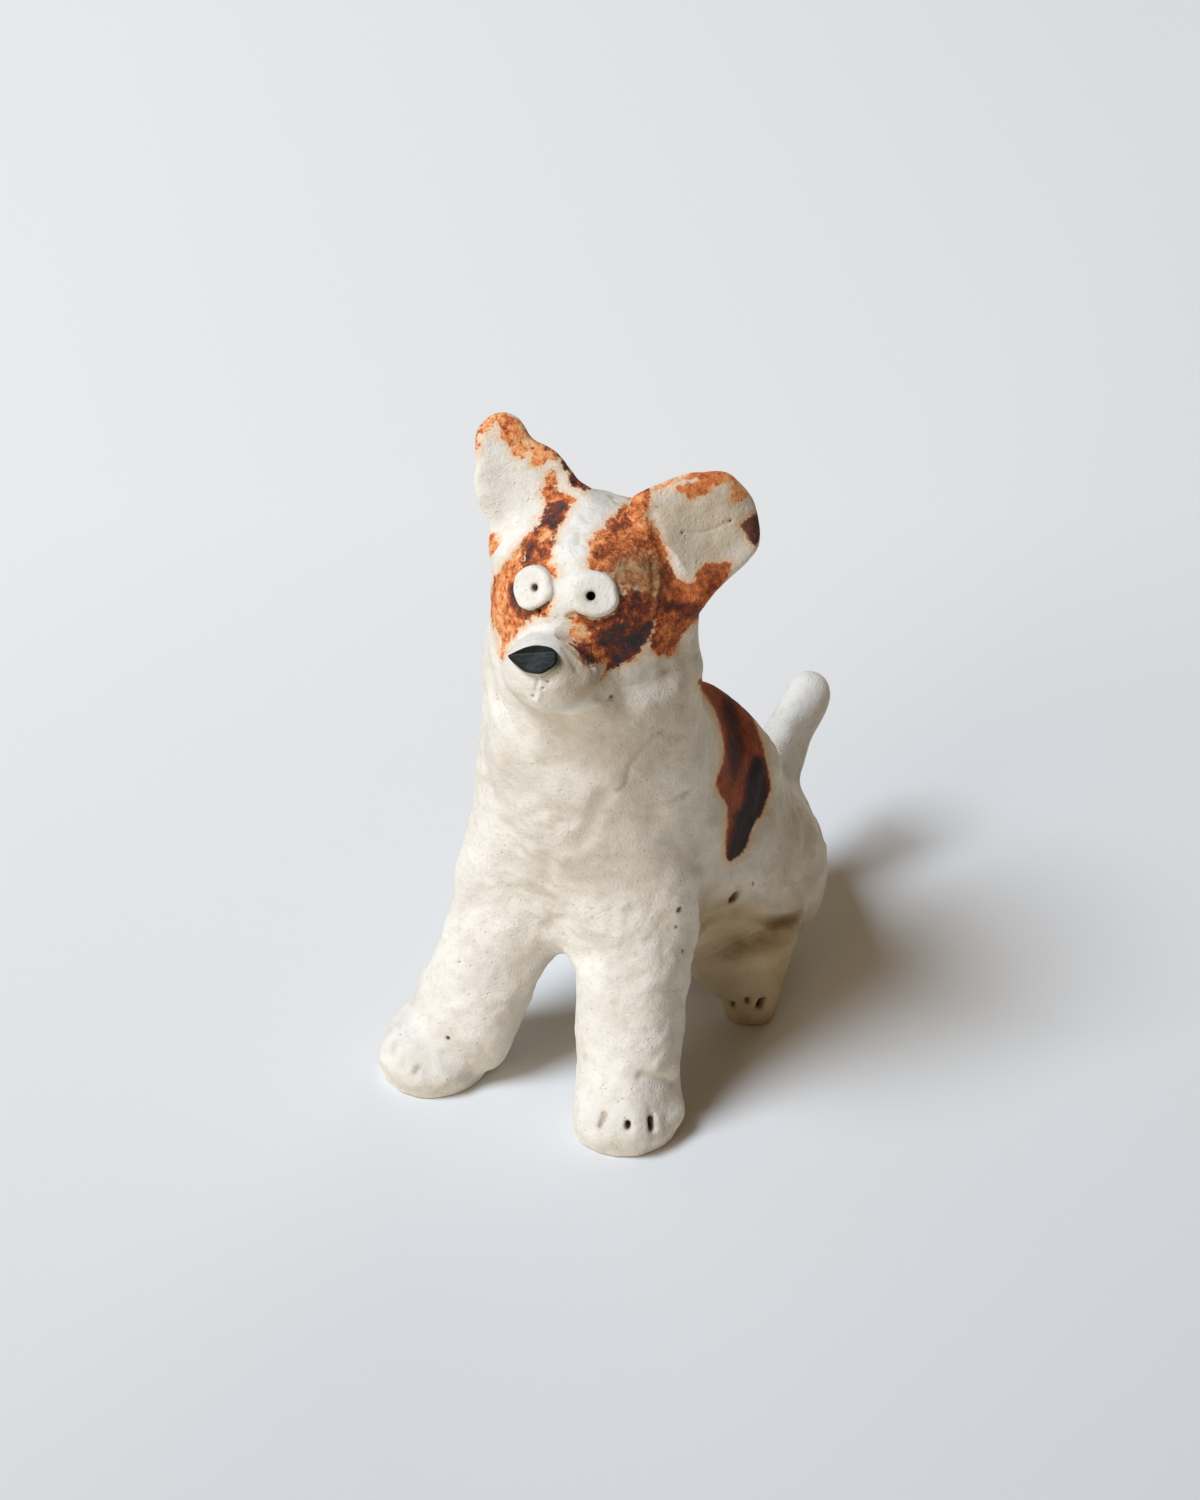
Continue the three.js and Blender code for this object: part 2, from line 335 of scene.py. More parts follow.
# The eye discs and the nose are pads with the outlines that the photograph shows, as pixels of it. Each
# is raised above the clay, with a rounded edge, softly joined to the clay, and may lean sideways and
# have a ridge: how far up it lies from the pad's middle, and how steeply the pad falls away above and
# below it.
PAD_SHAPES = {
    "eye_right": {
        "outline": pixels(
            (517, 590), (519, 577), (525, 570), (534, 566), (544, 568), (550, 575), (553, 586),
            (553, 595), (546, 603), (538, 608), (530, 610), (523, 607), (519, 599)),
        "raised": 0.62,
        "edge": 0.45,
        "soft": 0.3,
        "lean": 0.0,
        "ridge": (0.0, 0.0, 0.0),
    },
    "eye_left": {
        "outline": pixels(
            (571, 592), (577, 578), (588, 573), (600, 573), (610, 577), (616, 585), (618, 595),
            (618, 602), (615, 608), (609, 613), (601, 616), (591, 616), (581, 612), (574, 604)),
        "raised": 0.75,
        "edge": 0.6,
        "soft": 0.6,
        "lean": 0.08,
        "ridge": (0.0, 0.0, 0.0),
    },
    "nose_pad": {
        "outline": pixels(
            (511, 661), (515, 656), (521, 651), (528, 647), (536, 645), (545, 646), (553, 649),
            (559, 654), (561, 661), (559, 667), (553, 672), (544, 677), (536, 677), (527, 675),
            (519, 669)),
        "raised": 0.95,
        "edge": 0.25,
        "soft": 0.12,
        "lean": 0.0,
        "ridge": (0.7, 0.75, 0.16),
    },
}


def pad_place(shape):
    """A pad's middle and its sideways, upward and outward directions on the clay."""
    outline = on_clay(shape["outline"])
    middle = on_clay([shape["outline"].mean(axis=0)])[0]
    out = outward(np.concatenate([outline, middle[None]])).mean(axis=0)
    out /= np.linalg.norm(out)
    across = RIGHTWARD - out * (RIGHTWARD @ out)
    across /= np.linalg.norm(across)
    up = np.cross(out, across)
    flat = np.stack([(outline - middle) @ across, (outline - middle) @ up], axis=1)
    return {"middle": middle, "across": across, "up": up, "out": out, "loop": smooth_loop(flat)}


pad_places = {name: pad_place(shape) for name, shape in PAD_SHAPES.items()}

# A pad changes the clay up to the first distance from its middle, and reaches the second distance into
# it.
PAD_ROOM, PAD_SUNK = 4.6, 0.8


def box_of(axes, points, room):
    """The slices of a fine grid that hold some points and room round them, or None where it misses them."""
    spans = []
    for k in range(3):
        low, high = points[:, k].min() - room, points[:, k].max() + room
        i, j = np.searchsorted(axes[k], (low, high))
        if j - i < 2:
            return None
        spans.append(slice(i, j))
    return tuple(spans)


def coordinates(axes, spans):
    """The x, y and z of a part of a fine grid."""
    return np.meshgrid(*(axes[k][spans[k]] for k in range(3)), indexing="ij", sparse=True)


def pad_field(name, axes, spans):
    """Distance to a pad's surface, negative inside."""
    shape, place = PAD_SHAPES[name], pad_places[name]
    x, y, z = coordinates(axes, spans)
    px, py, pz = place["middle"]
    along = {}
    for key in ("across", "up", "out"):
        way = place[key]
        along[key] = (x - px) * way[0] + (y - py) * way[1] + (z - pz) * way[2]
    side = loop_distance(along["across"], along["up"], place["loop"])
    ridge, fall_above, fall_below = shape["ridge"]
    over = along["up"] - ridge
    fallen = fall_above * np.maximum(over, 0) + fall_below * np.maximum(-over, 0)
    height = along["out"] - shape["lean"] * along["across"] + fallen
    rim = side + shape["edge"]
    top = np.abs(height + PAD_SUNK) - shape["raised"] - PAD_SUNK + shape["edge"]
    outer = np.sqrt(np.maximum(rim, 0) ** 2 + np.maximum(top, 0) ** 2)
    return outer + np.minimum(np.maximum(rim, top), 0) - shape["edge"]


# The hand's unevenness: random lattices, each with a spacing, a depth and a seed.
UNEVEN = ((8.0, 0.8, 11), (4.2, 0.48, 12), (2.2, 0.28, 13), (1.2, 0.16, 14), (0.7, 0.08, 15))

# The pads and the pinched pieces are smoother than the rest: how much of the unevenness is left on them,
# and how far from a pinched piece the clay is as uneven as elsewhere.
PLAIN_PADS = 0.35
PINCHED = {"ear_right": 0.35, "ear_left": 0.35, "tail": 0.5}
PINCH_FADE = 1.5
calm = np.ones_like(figure)
for name, left in PINCHED.items():
    calm *= 1 - (1 - left) * np.clip(1 - fields[name] / PINCH_FADE, 0, 1)


def lattice(spacing, seed):
    """Random numbers on a coarse grid round the figure."""
    shape = np.ceil((box_high - box_low + 4 * MARGIN) / spacing).astype(int) + 4
    return np.random.default_rng(seed).standard_normal(tuple(shape)).astype(np.float32)


lattices = [(spacing, depth, lattice(spacing, seed)) for spacing, depth, seed in UNEVEN]
lattice_low = box_low - 2 * MARGIN


def unevenness(axes):
    """How far the hand's unevenness raises the clay on a fine grid."""
    total = 0.0
    for spacing, depth, values in lattices:
        total = total + depth * refine(values, lattice_low, spacing, axes)
    return total


# Marks in the clay, by their places in the photograph. A hole goes straight in: its radius and depth.
HOLES = {
    "pupil_right": (pixels((538, 588)), 0.42, 1.8),
    "pupil_left": (pixels((591, 596)), 0.52, 1.8),
    "flank_hole": (pixels((734, 897)), 0.85, 0.6),
    "flank_pit": (pixels((752, 882)), 0.3, 0.15),
    "paw_pit": (pixels((447, 1039)), 0.24, 0.8),
    "neck_pit": (pixels((612, 697)), 0.22, 0.5),
    "lip_pit": (pixels((532, 698)), 0.2, 0.3),
    "muzzle_pit": (pixels((548, 682)), 0.11, 0.3),
    "muzzle_pit_small": (pixels((543, 688)), 0.1, 0.3),
    "eye_crack_pit": (pixels((538, 611)), 0.26, 0.7),
    "leg_pit": (pixels((460, 962)), 0.15, 0.3),
    "crown_pit": (pixels((626, 503)), 0.28, 0.6),
    "ear_left_pit": (pixels((683, 533)), 0.14, 0.3),
    "ear_left_pit_high": (pixels((731, 521)), 0.16, 0.3),
    "knee_pit": (pixels((682, 950)), 0.28, 0.2),
    "knee_pit_high": (pixels((678, 908)), 0.4, 0.25),
    "knee_pit_middle": (pixels((676, 926)), 0.2, 0.15),
}

# A slit is pressed in between two places: its half width and depth.
SLITS = {
    "right_toe_inner": (pixels((413, 1073), (416, 1068)), 0.4, 0.3),
    "left_toe_middle": (pixels((628, 1126), (628, 1122)), 0.36, 0.5),
    "left_toe_inner": (pixels((650, 1127), (650, 1119)), 0.44, 0.7),
    "hind_toe_inner": (pixels((730, 1010), (731, 1006)), 0.45, 0.5),
    "hind_toe_middle": (pixels((747, 1006), (747, 1001)), 0.45, 0.5),
    "hind_toe_outer": (pixels((762, 1009), (763, 1002)), 0.62, 1.0),
}

# A groove follows a line of places: its half width and its depth, which is below zero for a ridge.
GROOVES = {
    "muzzle_crease": (pixels((562, 634), (570, 642), (580, 654), (591, 666)), 0.35, 0.8),
    "muzzle_fold": (pixels((565, 648), (571, 658), (577, 670)), 0.35, 0.3),
    "muzzle_fold_ridge": (pixels((568, 642), (575, 652), (582, 664)), 0.3, -0.15),
    "right_toe_outer": (pixels((391, 1051), (394, 1044)), 0.5, 0.45),
    "right_toe_middle": (pixels((400, 1066), (402, 1059)), 0.5, 0.3),
    "left_toe_outer": (pixels((602, 1127), (605, 1116)), 0.5, 0.55),
    "pupil_dent": (pixels((532, 585), (535, 587)), 0.42, 0.5),
    "philtrum": (pixels((538, 679), (536, 690), (532, 698)), 0.2, 0.3),
    "philtrum_ridge": (pixels((541, 681), (540, 692), (537, 702)), 0.35, -0.12),
    "ear_root_crack": (pixels((498, 575), (507, 562), (515, 552), (525, 541)), 0.32, 0.7),
    "eye_crack": (pixels((536, 612), (543, 607), (549, 602)), 0.25, 0.5),
    "brow_crack": (pixels((602, 572), (612, 577), (619, 586), (622, 596)), 0.25, 0.4),
    "forehead_crack": (pixels((581, 515), (590, 521), (598, 524)), 0.25, 0.3),
    "forehead_dent": (pixels((578, 531), (579, 544)), 0.28, 0.22),
    "crown_crack": (pixels((612, 499), (620, 503), (627, 503)), 0.25, 0.35),
    "crown_crack_low": (pixels((627, 504), (634, 507), (637, 514), (645, 522)), 0.25, 0.35),
    "crescent": (pixels((534, 534), (540, 528), (551, 526)), 0.3, -0.25),
    "temple_ridge": (pixels((658, 572), (659, 592), (656, 612), (650, 632)), 0.5, -0.25),
    "temple_groove": (pixels((652, 560), (654, 590), (651, 615)), 0.4, 0.25),
    "ear_left_crack": (pixels((683, 533), (700, 533), (715, 529), (730, 521)), 0.2, 0.16),
    "ear_left_root": (pixels((652, 515), (660, 540), (668, 560), (672, 580)), 0.7, 0.5),
    "under_eye_fold": (pixels((569, 617), (577, 613), (586, 617)), 0.35, 0.45),
    "chest_crack": (pixels((662, 732), (648, 744), (631, 763), (626, 784), (618, 790)), 0.3, 0.4),
    "chest_valley": (pixels((606, 797), (597, 815), (589, 832), (582, 843)), 1.1, 0.7),
    "chest_valley_low": (pixels((547, 862), (546, 886)), 0.9, 0.55),
    "chest_crease": (pixels((687, 791), (670, 803), (650, 809)), 0.5, 0.3),
    "chest_mark": (pixels((515, 822), (529, 818), (543, 812)), 0.6, 0.2),
    "ankle_crease": (pixels((642, 1076), (651, 1077), (662, 1080), (672, 1082)), 0.6, 0.35),
    "left_toe_furrow": (pixels((648, 1110), (650, 1130), (647, 1142)), 0.6, 0.3),
    "left_toe_ridge": (pixels((656, 1118), (658, 1130), (655, 1140)), 0.5, -0.25),
    "right_leg_outside": (pixels((466, 880), (456, 922), (443, 945), (428, 975), (413, 998)), 3.2, -1.1),
    "back_line": (pixels((712, 696), (722, 703), (740, 718), (756, 736), (766, 750)), 4.0, -1.7),
    "nape": (pixels((693, 605), (692, 640), (694, 665)), 3.0, -0.9),
    "tail_root": (pixels((812, 736), (804, 756), (800, 772)), 2.8, 2.4),
    "thigh_line": (
        pixels((706, 922), (724, 913), (742, 911), (762, 917), (785, 919), (800, 911)), 0.9, 0.8),
}

# A dent, or with a depth below zero a swelling, is wide and soft: its radius and depth.
DENTS = {
    "nose_bridge": (pixels((573, 600)), 2.6, -0.5),
    "muzzle_side": (pixels((588, 682)), 2.2, -0.5),
    "ankle_swelling": (pixels((674, 1068)), 1.0, -0.5),
    "ankle_swelling_low": (pixels((655, 1066)), 0.9, -0.4),
    "left_paw_corner": (pixels((679, 1112)), 1.6, -0.7),
    "right_ankle": (pixels((412, 1004)), 2.6, -0.7),
    "thigh_edge": (pixels((757, 906)), 1.6, -0.4),
    "neck_hollow": (pixels((650, 680)), 3.2, 0.6),
    "ear_right_slope": (pixels((533, 440)), 1.8, 0.35),
    "ear_right_side": (pixels((486, 525)), 3.0, 0.5),
    "neck_right": (pixels((487, 690)), 4.0, 1.0),
    "tail_top": (pixels((808, 680)), 2.6, -0.7),
    "ear_right_top": (pixels((499, 417)), 2.6, -0.5),
    "ear_left_top": (pixels((706, 475)), 3.0, -0.3),
    "ear_left_end": (pixels((751, 496)), 3.0, -0.5),
    "brow_left_corner": (pixels((633, 491)), 1.3, -0.5),
}


def placed(marks):
    """Marks with their pixels turned to places on the clay, and the outward direction at each."""
    out = {}
    for name, (points, *sizes) in marks.items():
        if len(points) > 2:
            halves = [np.linspace(a, b, 3)[:2] for a, b in zip(points, points[1:])]
            points = np.concatenate([*halves, points[-1:]])
        places = on_clay(points)
        out[name] = (places, outward(places), *sizes)
    return out


holes, slits, grooves, dents = (placed(m) for m in (HOLES, SLITS, GROOVES, DENTS))

# A tool comes in from this far above the clay. It leaves rims this soft, and a slit narrows downwards by
# this share, in this many steps.
TOOL_START = 1.2
SLIT_RIM, HOLE_RIM = 0.5, 0.25
SLIT_TAPER, SLIT_STEPS = 0.3, 6

# A dent or groove fades out within this many times its radius, and a slit or hole has this much room
# round it.
FADE_REACH, TOOL_ROOM = 2.5, 2

# A pupil lies within this distance of its own pad's middle.
PUPIL_NEAR = 2


def carve(field, cut, soft):
    """Takes a shape, given by its own distance field, out of the clay."""
    return -meld(-field, cut, soft)


def mark(field, axes):
    """Presses every mark into a fine field."""
    for places, out, radius, depth in dents.values():
        spans = box_of(axes, places, FADE_REACH * radius)
        if spans:
            x, y, z = coordinates(axes, spans)
            gap = (x - places[0, 0]) ** 2 + (y - places[0, 1]) ** 2 + (z - places[0, 2]) ** 2
            field[spans] += depth * np.exp(-gap / radius**2)
    for places, out, radius, depth in grooves.values():
        spans = box_of(axes, places, FADE_REACH * radius)
        if spans:
            gap = path_distance(*coordinates(axes, spans), places)
            field[spans] += depth * np.exp(-((gap / radius) ** 2))
    for places, out, radius, depth in slits.values():
        spans = box_of(axes, places, depth + TOOL_ROOM)
        if spans:
            way = out.mean(axis=0)
            cut = np.inf
            for down in np.linspace(-TOOL_START, depth, SLIT_STEPS):
                gap = path_distance(*coordinates(axes, spans), places - way * down)
                cut = np.minimum(cut, gap - radius * (1 - SLIT_TAPER * max(down, 0) / depth))
            field[spans] = carve(field[spans], cut, SLIT_RIM)
    for name, (places, out, radius, depth) in holes.items():
        spans = box_of(axes, places, depth + TOOL_ROOM)
        if spans:
            way = out[0]
            for place in pad_places.values() if name.startswith("pupil") else ():
                if np.linalg.norm(places[0] - place["middle"]) < PUPIL_NEAR:
                    way = place["out"]
            path = np.stack([places[0] + way * TOOL_START, places[0] - way * depth])
            cut = path_distance(*coordinates(axes, spans), path) - radius
            field[spans] = carve(field[spans], cut, HOLE_RIM)
    return field


def fine_axes(mask, pitch):
    """Axes of a fine grid round the cells of the coarse grid that a mask marks."""
    axes = []
    for k in range(3):
        used = np.flatnonzero(mask.any(axis=tuple(j for j in range(3) if j != k)))
        low, high = grid_low[k] + STEP * (used[0] - 2), grid_low[k] + STEP * (used[-1] + 2)
        first = math.floor(low / pitch)
        axes.append(pitch * np.arange(first, math.ceil(high / pitch) + 1))
    return axes


# Room round a pad's own mesh, how far outside a pad the clay is as uneven as elsewhere, and where the
# seam round a pad falls away, and how fast.
PAD_MESH_ROOM, PAD_CALM = 2.5, 2.0
PAD_SEAM, PAD_SEAM_FALL = 0.2, 3

# How soft the edge at the bench is, and how far past a seam a piece begins to fall away.
BENCH_EDGE, TUCK_START = 0.4, 0.08

# What counts as far off, where the distance itself doesn't matter.
FAR_OFF = 3.0


def clay_field(name, pitch):
    """A piece's own closed field on a fine grid, and the whole figure's surface there."""
    if name in PADS:
        place = pad_places[name]
        loop = place["loop"]
        ring = place["middle"] + loop[:, :1] * place["across"] + loop[:, 1:] * place["up"]
        lows, highs = ring.min(axis=0) - PAD_MESH_ROOM, ring.max(axis=0) + PAD_MESH_ROOM
        axes = [pitch * np.arange(math.floor(low / pitch), high / pitch) for low, high in zip(lows, highs)]
        own = None
    else:
        own = fields[name]
        mask = (own < 1.2 * TUCK + STEP) & (figure < 2 * STEP)
        axes = fine_axes(mask, pitch)
    surface = refine(figure, grid_low, STEP, axes)
    low = np.array([a[0] for a in axes])
    if own is None:
        rest = refine(nearest, grid_low, STEP, axes)
    else:
        mine = lumps_of_clay.index(name)
        others = np.where(owner == mine, second, nearest)
        rest = refine(others, grid_low, STEP, axes)
        own = refine(own, grid_low, STEP, axes)
    raised = unevenness(axes) * refine(calm, grid_low, STEP, axes)
    for pad in PADS:
        place = pad_places[pad]
        spans = box_of(axes, place["middle"][None], PAD_ROOM)
        if spans:
            cut = pad_field(pad, axes, spans)
            raised[spans] *= PLAIN_PADS + (1 - PLAIN_PADS) * np.clip(cut / PAD_CALM, 0, 1)
            surface[spans] = meld(surface[spans], cut, PAD_SHAPES[pad]["soft"])
            reach = cut + PAD_SEAM_FALL * np.maximum(cut - PAD_SEAM, 0)
            if pad == name:
                own = np.full(surface.shape, FAR_OFF, np.float32)
                own[spans] = reach
            else:
                rest[spans] = np.minimum(rest[spans], reach)
    surface = mark(surface - raised, axes)
    surface = -meld(-surface, axes[2].astype(np.float32), BENCH_EDGE)
    share = 0.5 * (own - rest)
    under = TUCK_SLOPE * np.maximum(share, 0) + TUCK_FALL * np.maximum(share - TUCK_START, 0)
    piece = np.maximum(surface + under, share - TUCK)
    return piece.astype(np.float32), surface.astype(np.float32), axes, low


# A new mesh's points are drawn onto the surface in this many steps, each over this share of the way.
DRAWN_STEPS, DRAWN_SHARE = 2, 0.7


def clay_mesh(name, pitch):
    """The closed mesh of one piece of clay: its points in millimetres, and its faces."""
    piece, surface, axes, low = clay_field(name, pitch)
    band = 3 * pitch
    grid = openvdb.FloatGrid(band)
    grid.copyFromArray(np.clip(piece, -band, band), ijk=(0, 0, 0))
    grid.transform = openvdb.createLinearTransform(voxelSize=pitch)
    points, triangles, quads = grid.convertToPolygons(isovalue=0.0, adaptivity=0.0)
    points = points.astype(float) + low
    for _ in range(DRAWN_STEPS):
        way = slope(piece, low, pitch, points, 0.5 * pitch)
        off = np.clip(sample(piece, low, pitch, points), -pitch, pitch)
        points -= DRAWN_SHARE * off[:, None] * way
    return points, triangles, quads, surface, low


# Brushed iron oxide, and one painted shadow line along the right ear's edge, in the order that they are laid
# on: the pieces that a patch lies on, how heavy it is, from a pale wash at 0 to purple-black at 1, and its
# outline as pixels of the photograph.
OXIDE = {
    "ear_right_rim": (("ear_right",), 0.38, pixels(
        (473, 459), (474, 443), (477, 431), (483, 420), (490, 414), (498, 412), (507, 412), (513, 415),
        (519, 421), (531, 432), (541, 444), (545, 448), (542, 456), (538, 462), (530, 464), (533, 454),
        (529, 452), (524, 457), (514, 455), (510, 446), (506, 442), (500, 437), (498, 429), (496, 422),
        (489, 433), (478, 434), (477, 447), (475, 459))),
    "ear_right_step": (("ear_right",), 0.36, pixels(
        (530, 441), (541, 445), (552, 448), (560, 454), (558, 461), (551, 459), (545, 463), (538, 466),
        (532, 463), (528, 455))),
    "ear_right_edge": (("ear_right", "head"), 0.72, pixels(
        (557, 454), (562, 456), (568, 463), (576, 473), (586, 486), (589, 490), (577, 489), (569, 483),
        (567, 475), (562, 467))),
    "ear_right_foot": (("ear_right",), 0.4, pixels(
        (486, 536), (500, 540), (502, 552), (507, 560), (503, 568), (496, 574), (490, 560))),
    "junction_right": (("head", "ear_right"), 0.34, pixels(
        (525, 540), (531, 531), (530, 545), (521, 560), (514, 575), (508, 585), (500, 590), (496, 578),
        (505, 566), (515, 552))),
    "brow_foot": (("head", "ear_right"), 0.3, pixels(
        (506, 570), (509, 560), (517, 550), (525, 543), (534, 548), (533, 562), (527, 574), (518, 580),
        (511, 588), (500, 592), (498, 584))),
    "cheek_right": (("head", "muzzle"), 0.42, pixels(
        (497, 573), (504, 568), (507, 561), (516, 560), (524, 568), (523, 580), (524, 596), (530, 606),
        (540, 608), (549, 599), (552, 606), (546, 617), (535, 617), (525, 624), (514, 633), (508, 643),
        (503, 658), (501, 656), (500, 640), (498, 631), (489, 617), (487, 602), (491, 590))),
    "brow_right": (("head", "ear_right"), 0.42, pixels(
        (547, 472), (551, 469), (555, 473), (556, 485), (559, 490), (567, 492), (569, 497), (575, 501),
        (570, 504), (568, 510), (567, 517), (560, 525), (556, 533), (554, 541), (551, 547), (552, 558),
        (550, 563), (555, 566), (557, 573), (553, 578), (544, 568), (535, 566), (524, 566), (521, 558),
        (522, 549), (524, 542), (533, 530), (540, 517), (547, 507), (542, 500), (540, 495), (541, 490),
        (547, 489), (545, 480))),
    "brow_left": (("head", "ear_left"), 0.48, pixels(
        (628, 491), (636, 486), (648, 486), (651, 492), (652, 502), (649, 511), (643, 516), (652, 521),
        (659, 534), (665, 548), (669, 560), (664, 566), (657, 562), (650, 553), (641, 557), (632, 556),
        (625, 560), (620, 568), (613, 574), (600, 572), (589, 570), (587, 562), (591, 551), (590, 541),
        (594, 535), (600, 530), (607, 527), (607, 522), (618, 513), (624, 504), (630, 503))),
    "temple_wash": (("head",), 0.56, pixels(
        (611, 560), (625, 553), (641, 553), (657, 558), (664, 574), (664, 598), (646, 594), (631, 586),
        (620, 586), (612, 575))),
    "cheek_left": (("head", "muzzle"), 0.62, pixels(
        (568, 619), (573, 615), (580, 612), (591, 618), (607, 615), (621, 606), (624, 595), (619, 585),
        (631, 586), (646, 591), (660, 596), (658, 607), (655, 622), (652, 633), (640, 655), (630, 661),
        (620, 666), (611, 670), (606, 677), (600, 680), (604, 668), (601, 665), (591, 666), (588, 658),
        (578, 648), (568, 638), (575, 640), (584, 641), (588, 636), (588, 630), (582, 624), (573, 624))),
    "cheek_left_worn": (("head", "muzzle"), 0.3, pixels(
        (573, 625), (582, 625), (588, 631), (590, 640), (584, 643), (575, 641), (569, 633))),
    "ear_left_foot": (("head", "ear_left"), 0.55, pixels(
        (652, 529), (659, 535), (666, 549), (672, 566), (676, 580), (662, 586), (659, 574), (656, 561),
        (651, 547))),
    "ear_left_under": (("head", "ear_left", "torso"), 0.56, pixels(
        (662, 578), (678, 580), (693, 581), (698, 570), (706, 564), (720, 562), (733, 563), (722, 587),
        (709, 600), (704, 615), (691, 627), (683, 636), (677, 648), (671, 656), (654, 652), (650, 640),
        (654, 621), (655, 600))),
    "ear_left_thread": (("ear_left",), 0.3, pixels(
        (650, 489), (665, 483), (680, 477), (697, 472), (697, 476), (681, 481), (666, 487), (652, 492))),
    "ear_left_rim": (("ear_left",), 0.46, pixels(
        (690, 470), (706, 462), (718, 461), (732, 464), (745, 472), (740, 479), (728, 482), (720, 484),
        (712, 486), (711, 492), (699, 497), (691, 500), (684, 496), (677, 491), (676, 486), (683, 484),
        (690, 483), (700, 481))),
    "ear_left_tip": (("ear_left",), 0.3, pixels(
        (730, 484), (737, 480), (745, 483), (748, 491), (745, 499), (734, 502), (728, 499), (731, 493))),
    "saddle": (("torso", "haunch_left"), 0.66, pixels(
        (697, 679), (722, 682), (740, 694), (751, 710), (758, 729), (764, 750), (771, 784), (769, 795),
        (761, 817), (753, 824), (748, 842), (738, 857), (728, 861), (725, 846), (727, 809), (718, 793),
        (716, 780), (722, 764), (723, 744), (715, 713), (705, 696))),
    # Painted shadow: a thin dark line along the right ear's edge, laid on as heavy oxide.
    "ear_right_line": (("ear_right",), 0.66, pixels(
        (514, 411), (525, 418), (537, 433), (547, 442), (558, 446), (568, 456), (580, 472), (592, 487),
        (588, 490), (576, 477), (563, 461), (553, 451), (541, 447), (532, 438), (521, 424))),
    "ear_right_edge_dark": (("ear_right",), 0.85, pixels(
        (567, 466), (573, 470), (578, 480), (571, 481), (566, 476))),
    "brow_right_burn": (("head",), 0.82, pixels(
        (551, 503), (563, 501), (569, 506), (567, 510), (564, 513), (563, 519), (559, 526), (558, 532),
        (555, 541), (549, 546), (545, 543), (536, 543), (536, 540), (545, 540), (551, 535), (550, 527),
        (545, 526), (538, 530), (533, 537), (539, 521), (545, 512))),
    "brow_right_low": (("head",), 0.7, pixels(
        (522, 554), (526, 543), (533, 538), (541, 545), (550, 548), (550, 556), (541, 560), (535, 566),
        (525, 566))),
    "cheek_right_rim": (("head",), 0.86, pixels(
        (509, 590), (513, 581), (521, 584), (522, 598), (528, 607), (536, 611), (526, 618), (516, 611),
        (511, 601))),
    "brow_left_top": (("head",), 0.66, pixels(
        (630, 509), (636, 503), (640, 512), (636, 520), (625, 530), (615, 533), (612, 528), (620, 524))),
    "brow_left_knot": (("head",), 0.72, pixels((594, 551), (602, 546), (608, 552), (604, 560), (596, 560))),
    "brow_left_tip": (("head", "ear_left"), 0.95, pixels((641, 485), (652, 484), (650, 489), (642, 490))),
    "cheek_left_top": (("head",), 0.76, pixels(
        (622, 594), (632, 590), (645, 594), (652, 600), (650, 616), (640, 628), (622, 632), (606, 628),
        (603, 618), (615, 612))),
    "cheek_left_burn": (("head",), 0.92, pixels(
        (606, 628), (622, 624), (636, 628), (650, 621), (648, 634), (640, 648), (628, 659), (614, 664),
        (606, 650), (600, 637))),
    "lip_burn": (("head", "muzzle"), 0.9, pixels(
        (572, 643), (579, 646), (587, 652), (595, 663), (589, 667), (580, 657), (571, 648))),
    "nose_bridge_curl": (("head", "muzzle"), 0.74, pixels(
        (570, 619), (575, 614), (584, 617), (586, 622), (577, 621))),
    "ear_left_line": (("ear_left",), 0.72, pixels(
        (738, 470), (752, 478), (762, 494), (767, 512), (759, 512), (754, 497), (746, 484), (737, 476))),
    "ear_left_spot": (("ear_left",), 0.86, pixels(
        (763, 509), (751, 515), (746, 520), (740, 524), (742, 529), (747, 535), (751, 544), (758, 544),
        (764, 526))),
    "ear_left_under_dark": (("head", "ear_left", "torso"), 0.78, pixels(
        (662, 600), (675, 603), (692, 602), (700, 603), (699, 615), (691, 620), (680, 612), (664, 611))),
    "saddle_streak": (("torso",), 0.86, pixels(
        (724, 697), (734, 702), (742, 739), (743, 755), (734, 781), (728, 757), (728, 734), (721, 713))),
    "saddle_burn": (("torso", "haunch_left"), 1.0, pixels(
        (754, 758), (763, 760), (768, 791), (760, 815), (749, 830), (743, 812), (744, 800), (748, 774))),
    "saddle_tip": (("torso", "haunch_left"), 1.0, pixels(
        (738, 811), (753, 817), (749, 840), (741, 855), (728, 862), (729, 846), (735, 826))),
}

# How many of the photograph's pixels a millimetre on the clay takes up.
PIXELS_PER_MM = 8.2

# Depths inside the oxide's edge are kept up to this far, and two patches meet softly over this width.
OXIDE_REACH, OXIDE_MEETING = 3.0, 0.8

# A patch, stain or painted shade that the photograph shows stops where the clay turns away from the camera,
# and a patch on an unseen side where it turns towards it: how fast, and at which facing.
TURN_RATE = 4
SEEN_FROM, UNSEEN_FROM, STAIN_AND_SHADE_FROM = -0.08, 0.1, -0.15

# The weight of oxide that clay without a patch is given.
BARE_WEIGHT = 0.4

# The oxide was wiped off again over these patches, so that only scraps of it are left: how deep the
# cover may be.
WORN = {
    "temple_wash": 0.2,
    "brow_foot": 0.35,
    "cheek_left_worn": 0.3,
    "ear_right_step": 0.15,
    "junction_right": 0.35,
}
